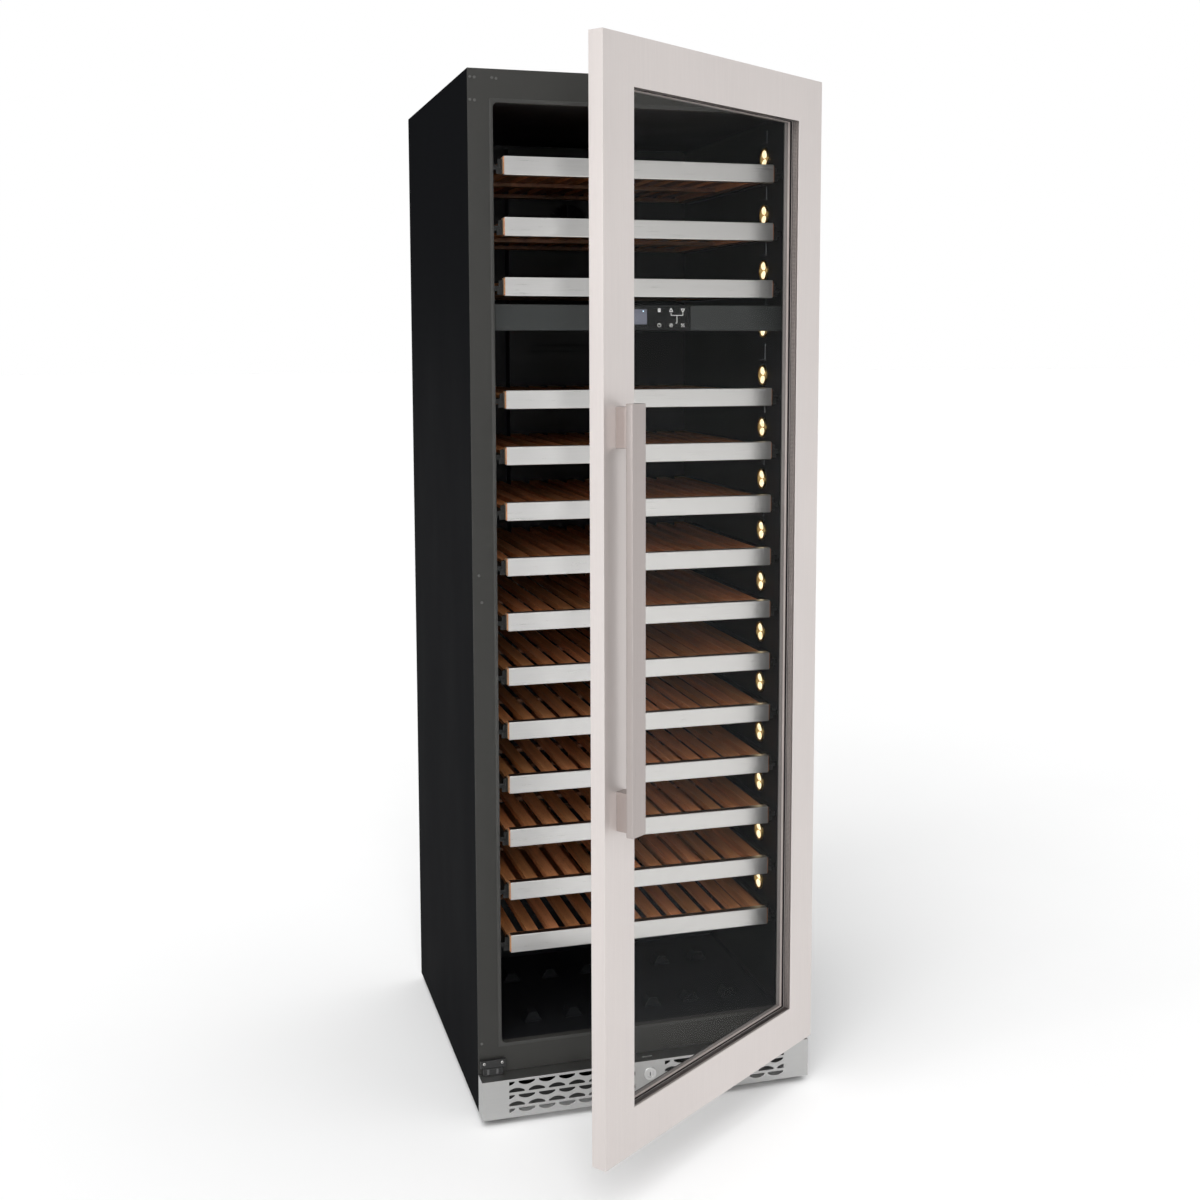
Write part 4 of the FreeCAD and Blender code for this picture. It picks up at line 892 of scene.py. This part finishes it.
def feet():
    """Levelling feet: a ribbed pad, a hexagon and a threaded stem."""
    pads, stems = bmesh.new(), bmesh.new()
    low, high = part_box("levelling_feet")
    pad_r, pad_top = 20 * MM, 8.0 * MM
    hexagon_r, hexagon_top = 9 * MM, 13 * MM
    pad = [(0.0, 0.0), (pad_r - 0.8 * MM, 0.0), (pad_r, 0.8 * MM), (pad_r - 0.6 * MM, 2.6 * MM),
           (pad_r - 2.6 * MM, 3.0 * MM), (pad_r - 3.2 * MM, 5.6 * MM), (pad_r - 5.0 * MM, pad_top),
           (0.0, pad_top)]
    crest, root, pitch, turns = 5.0 * MM, 4.35 * MM, 1.5 * MM, 18
    stem = [(0.0, hexagon_top - 0.5 * MM)]
    for k in range(turns):
        z = hexagon_top + pitch * k
        stem += [(root, z), (crest, z + pitch / 2)]
    stem += [(root, hexagon_top + pitch * turns), (0.0, hexagon_top + pitch * turns)]
    for x in (low.x + pad_r, high.x - pad_r):
        for y in (low.y + pad_r, high.y - pad_r):
            add_lathe(pads, pad, (x, y, 0), (0, 0, 1), 40)
            add_lathe(stems, stem, (x, y, 0), (0, 0, 1), 20)
            hexagon = arc((x, y), hexagon_r, 0, 360, 6)[:-1]
            add_prism(stems, hexagon, 2, pad_top, hexagon_top)
    piece("foot_pads", pads, "cabinet", [FOOT_BLACK], ["levelling_feet"])
    piece("foot_stems", stems, "cabinet", [PIN_STEEL])


hinges()
hole_plugs()
feet()


# ======== door pieces, drawn shut ========

SEAL_GAP = 1.1 * MM
SPACER_BORDER = 9.5 * MM
REVEAL_INSET = 10 * MM
CAP_R = 6.5 * MM
CAP_INSET = 30 * MM
CAP_STEP = 16 * MM


def door_seal():
    """Magnetic seal with a foot, a bellows and a flat magnet tube, mitred at the corners."""
    low, high = shut_box("door_gasket")
    foot, tip = low.y, FLANGE_Y - SEAL_GAP
    shape = [(0, foot), (-12 * MM, foot), (-12 * MM, foot + 2.4 * MM), (-9.6 * MM, foot + 3.3 * MM),
             (-9.2 * MM, foot + 4.0 * MM), (-11.6 * MM, foot + 5.3 * MM), (-11.6 * MM, tip - 1.5 * MM),
             (-10.6 * MM, tip), (-1.4 * MM, tip), (-0.4 * MM, tip - 1.5 * MM), (-0.4 * MM, foot + 5.3 * MM),
             (-2.8 * MM, foot + 4.0 * MM), (-2.4 * MM, foot + 3.3 * MM), (0, foot + 2.4 * MM)]
    bm = bmesh.new()
    add_mitred_frame(bm, shape, high.x, low.z, high.z)
    piece("door_seal", bm, "door", [SEAL], ["door_gasket"], SWING, 30)


def glazing_spacer():
    """Spacer between the panes: a ribbed band, and a smooth bead against the rear pane."""
    low, high = shut_box("glass_spacer")
    border = SPACER_BORDER
    y0, y1 = low.y, high.y
    split = y1 - 2.2 * MM
    shape = [(0.0, y0 + 0.8 * MM), (0.0, split - 0.4 * MM), (0.5 * MM, split), (0.5 * MM, split + 0.6 * MM),
             (0.0, split + 1.0 * MM), (0.0, y1 - 0.3 * MM), (0.8 * MM, y1), (border, y1), (border, y0),
             (0.8 * MM, y0)]
    # band 2 is a shallow groove painted near-black: painted shade
    bands = [1, 2, 2, 2, 0, 0, 0, 0, 0, 1]
    bm = bmesh.new()
    add_mitred_frame(bm, shape, high.x - border, low.z + border, high.z - border, bands)
    # the smooth bead takes the pale tone of painted reflection
    paints = [SPACER_PAINTED_REFLECTION, SPACER_RIBBED, RECESS_PAINTED_SHADE]
    piece("glazing_spacer", bm, "door", paints, ["glass_spacer"], SWING)


def window_reveal():
    """Lining of the window's edge behind the glass: a pale band whose pinkish tone is a painted reflection, a
    dark line, a grey band and a dark lip.
    """
    low, high = shut_box("glass_spacer")
    inset = REVEAL_INSET
    y0 = shut_box("glass_panes")[1].y + 0.1 * MM
    y1 = shut_box("door_liner")[1].y
    pale_end = y0 + 4.2 * MM
    grey_end = y1 - 2.4 * MM
    thick = -0.6 * MM
    shape = [(thick, y0), (thick, pale_end), (0.2 * thick, pale_end + 0.3 * MM), (thick, pale_end + 0.6 * MM),
             (thick, grey_end), (0.3 * thick, grey_end + 0.6 * MM), (0.3 * thick, y1 - 0.4 * MM),
             (0.0, y1 - 0.1 * MM), (0.1 * MM, y1 - 0.1 * MM), (0.1 * MM, y0)]
    bands = [0, 1, 1, 2, 1, 1, 1, 1, 1, 0]
    bm = bmesh.new()
    add_mitred_frame(bm, shape, high.x - inset, low.z + inset, high.z - inset, bands)
    piece("window_reveal", bm, "door", [SPACER_PAINTED_REFLECTION, DOOR_BLACK, REVEAL_GREY], place=SWING)


def handle_caps():
    """Caps over the handle's screws on the back of the door."""
    skin_back = shut_box("door_skin")[1].y
    bm = bmesh.new()
    shape = [(0.0, -0.4 * MM), (CAP_R, -0.4 * MM), (CAP_R, 0.5 * MM), (5.8 * MM, 1.1 * MM), (0.0, 1.3 * MM)]
    post_low, post_high = shut_box("handle_posts")
    middle = (post_low.x + post_high.x) / 2
    for z in (post_low.z + CAP_INSET, post_high.z - CAP_INSET):
        for step in (-CAP_STEP, CAP_STEP):
            add_lathe(bm, shape, (middle, skin_back, z + step), (0, 1, 0), 28)
    piece("handle_screw_caps", bm, "door", [DOOR_BLACK], place=SWING)


door_seal()
glazing_spacer()
window_reveal()
handle_caps()


# ======== CAD nodes that keep their shape ========

CAD_LOOKS = {
    "outer_wrap": (CABINET_BLACK, 0.5), "rear_panel": (GALVANISED, 0.3), "front_flange": (FLANGE_GREY, 0.5),
    "inner_liner": (LINER_BLACK, 0.8), "insulation": (FOAM_CREAM, 0), "machine_base": (BRACKET_BLACK, 0.4),
    "kick_plate": (STEEL_KICK, 0.4), "lock_barrel": (CHROME, 0.3), "lock_cylinder": (CHROME, 0.2),
    "lock_bolt": (PIN_STEEL, 0.5), "hinge_pins": (PIN_STEEL, 0.5), "zone_divider": (LINER_BLACK, 1.0),
    "control_fascia": (FASCIA_GREY, 0.8), "touch_panel": (TOUCH_DARK, 0.3), "shelf_rails": (RAIL_BLACK, 0.4),
    "evaporator_covers": (LINER_BLACK, 1.2), "compressor": (COMPRESSOR_BLACK, 0), "condenser": (FIN_ALU, 0),
    "power_inlet": (DOOR_BLACK, 0.4), "fan_upper": (FAN_BLACK, 0.4), "fan_lower": (FAN_BLACK, 0.4),
    "fan_condenser": (FAN_BLACK, 0.4), "door_skin": (STEEL_DOOR, 0.55), "door_liner": (DOOR_BLACK, 0.5),
    "glass_panes": (GLASS, 0), "handle_bar": (STEEL_HANDLE, 0.8), "handle_posts": (STEEL_HANDLE, 0.7),
}
for node_name, (paint, edge_mm) in CAD_LOOKS.items():
    dress(node_name, paint, edge_mm * MM)


# ======== stage: floor, light and camera ========

CAMERA_PLACE = (-0.7786, -2.6772, 1.3337)
CAMERA_DOWN = 6.187
CAMERA_TURN = 16.762
CAMERA_SHIFT = (-0.0333, -0.075)
FLOOR_REACH = 60.0
STUDIO_LEVEL = 0.66
# towards, where a card starts and where it is full, and how much light it takes away or adds
STUDIO_CARDS = [((-0.33, 0.94, 0.05), 0.30, 0.88, -0.58), ((0.55, -0.83, 0.1), 0.55, 0.95, -0.10),
                ((1.0, 0.05, 0.0), 0.70, 1.0, 0.16), ((0.0, 0.0, 1.0), 0.35, 0.95, 0.35)]


def studio_floor():
    """Plain pale floor."""
    mesh = bpy.data.meshes.new("studio_floor")
    corners = [(x * FLOOR_REACH, y * FLOOR_REACH, 0) for x, y in ((-1, -1), (1, -1), (1, 1), (-1, 1))]
    mesh.from_pydata(corners, [], [(0, 1, 2, 3)])
    floor = bpy.data.objects.new("studio_floor", mesh)
    bpy.context.scene.collection.objects.link(floor)
    paint, tree, shader = new_paint("pale_floor", Roughness=0.9, Specular_IOR_Level=0.0)
    colours = [(0.3, (0.925, 0.925, 0.925)), (0.7, (0.935, 0.935, 0.935))]
    tree.links.new(ramp(tree, noise(tree, (2.0, 2.0, 2.0)), colours), shader.inputs["Base Color"])
    mesh.materials.append(paint)


def facing(tree, direction, towards, start, end):
    """Rises from 0 to 1 as a direction turns towards another."""
    inputs = {0: direction, 1: Vector(towards).normalized()}
    along = make(tree, "VectorMath", inputs, operation="DOT_PRODUCT").outputs["Value"]
    inputs = {"Value": along, "From Min": start, "From Max": end}
    return make(tree, "MapRange", inputs, interpolation_type="SMOOTHSTEP").outputs["Result"]


def studio_world():
    """White backdrop, with the dark and bright cards of a studio for the metal and paint to mirror."""
    world = bpy.data.worlds.new("studio")
    bpy.context.scene.world = world
    world.use_nodes = True
    tree = world.node_tree
    direction = make(tree, "TexCoord").outputs["Generated"]
    level = STUDIO_LEVEL
    for towards, start, end, change in STUDIO_CARDS:
        card = maths(tree, "MULTIPLY", facing(tree, direction, towards, start, end), change)
        level = maths(tree, "ADD", card, level)
    seen = make(tree, "LightPath").outputs["Is Camera Ray"]
    strength = make(tree, "Mix", {0: seen, 2: level, 3: 1.0}).outputs[0]
    tree.links.new(strength, tree.nodes["Background"].inputs["Strength"])
    tree.nodes["Background"].inputs["Color"].default_value = (1.0, 1.0, 1.0, 1.0)


def soft_light(name, place, aim, width, height, power):
    """A rectangular soft box."""
    data = bpy.data.lights.new(name, "AREA")
    data.shape = "RECTANGLE"
    data.size = width
    data.size_y = height
    data.energy = power
    light = bpy.data.objects.new(name, data)
    light.location = place
    light.rotation_euler = (Vector(aim) - Vector(place)).to_track_quat("-Z", "Y").to_euler()
    bpy.context.scene.collection.objects.link(light)


def studio_camera():
    """Camera at chest height to the left of the object, turned right and slightly down."""
    data = bpy.data.cameras.new("camera")
    data.lens = 47.4
    data.sensor_width = 36.0
    data.shift_x, data.shift_y = CAMERA_SHIFT
    camera = bpy.data.objects.new("camera", data)
    camera.location = CAMERA_PLACE
    camera.rotation_euler = (math.radians(90 - CAMERA_DOWN), 0, math.radians(-CAMERA_TURN))
    bpy.context.scene.collection.objects.link(camera)
    bpy.context.scene.camera = camera


def sun_light(name, place, strength, softness):
    """Even light over the whole floor from one direction, with soft shadows."""
    data = bpy.data.lights.new(name, "SUN")
    data.energy = strength
    data.angle = math.radians(softness)
    light = bpy.data.objects.new(name, data)
    light.rotation_euler = Vector(place).to_track_quat("Z", "Y").to_euler()
    bpy.context.scene.collection.objects.link(light)


bpy.context.scene.view_settings.view_transform = "Standard"
studio_floor()
studio_world()
sun_light("even_light", (-0.55, -1.0, 1.15), 1.5, 50)
soft_light("edge_light", (-0.75, -4.6, 1.3), (0, 0, 1.0), 0.35, 3.2, 30)
soft_light("side_light", (-3.2, -0.8, 1.9), (0, 0, 1.5), 0.4, 1.5, 9)
studio_camera()
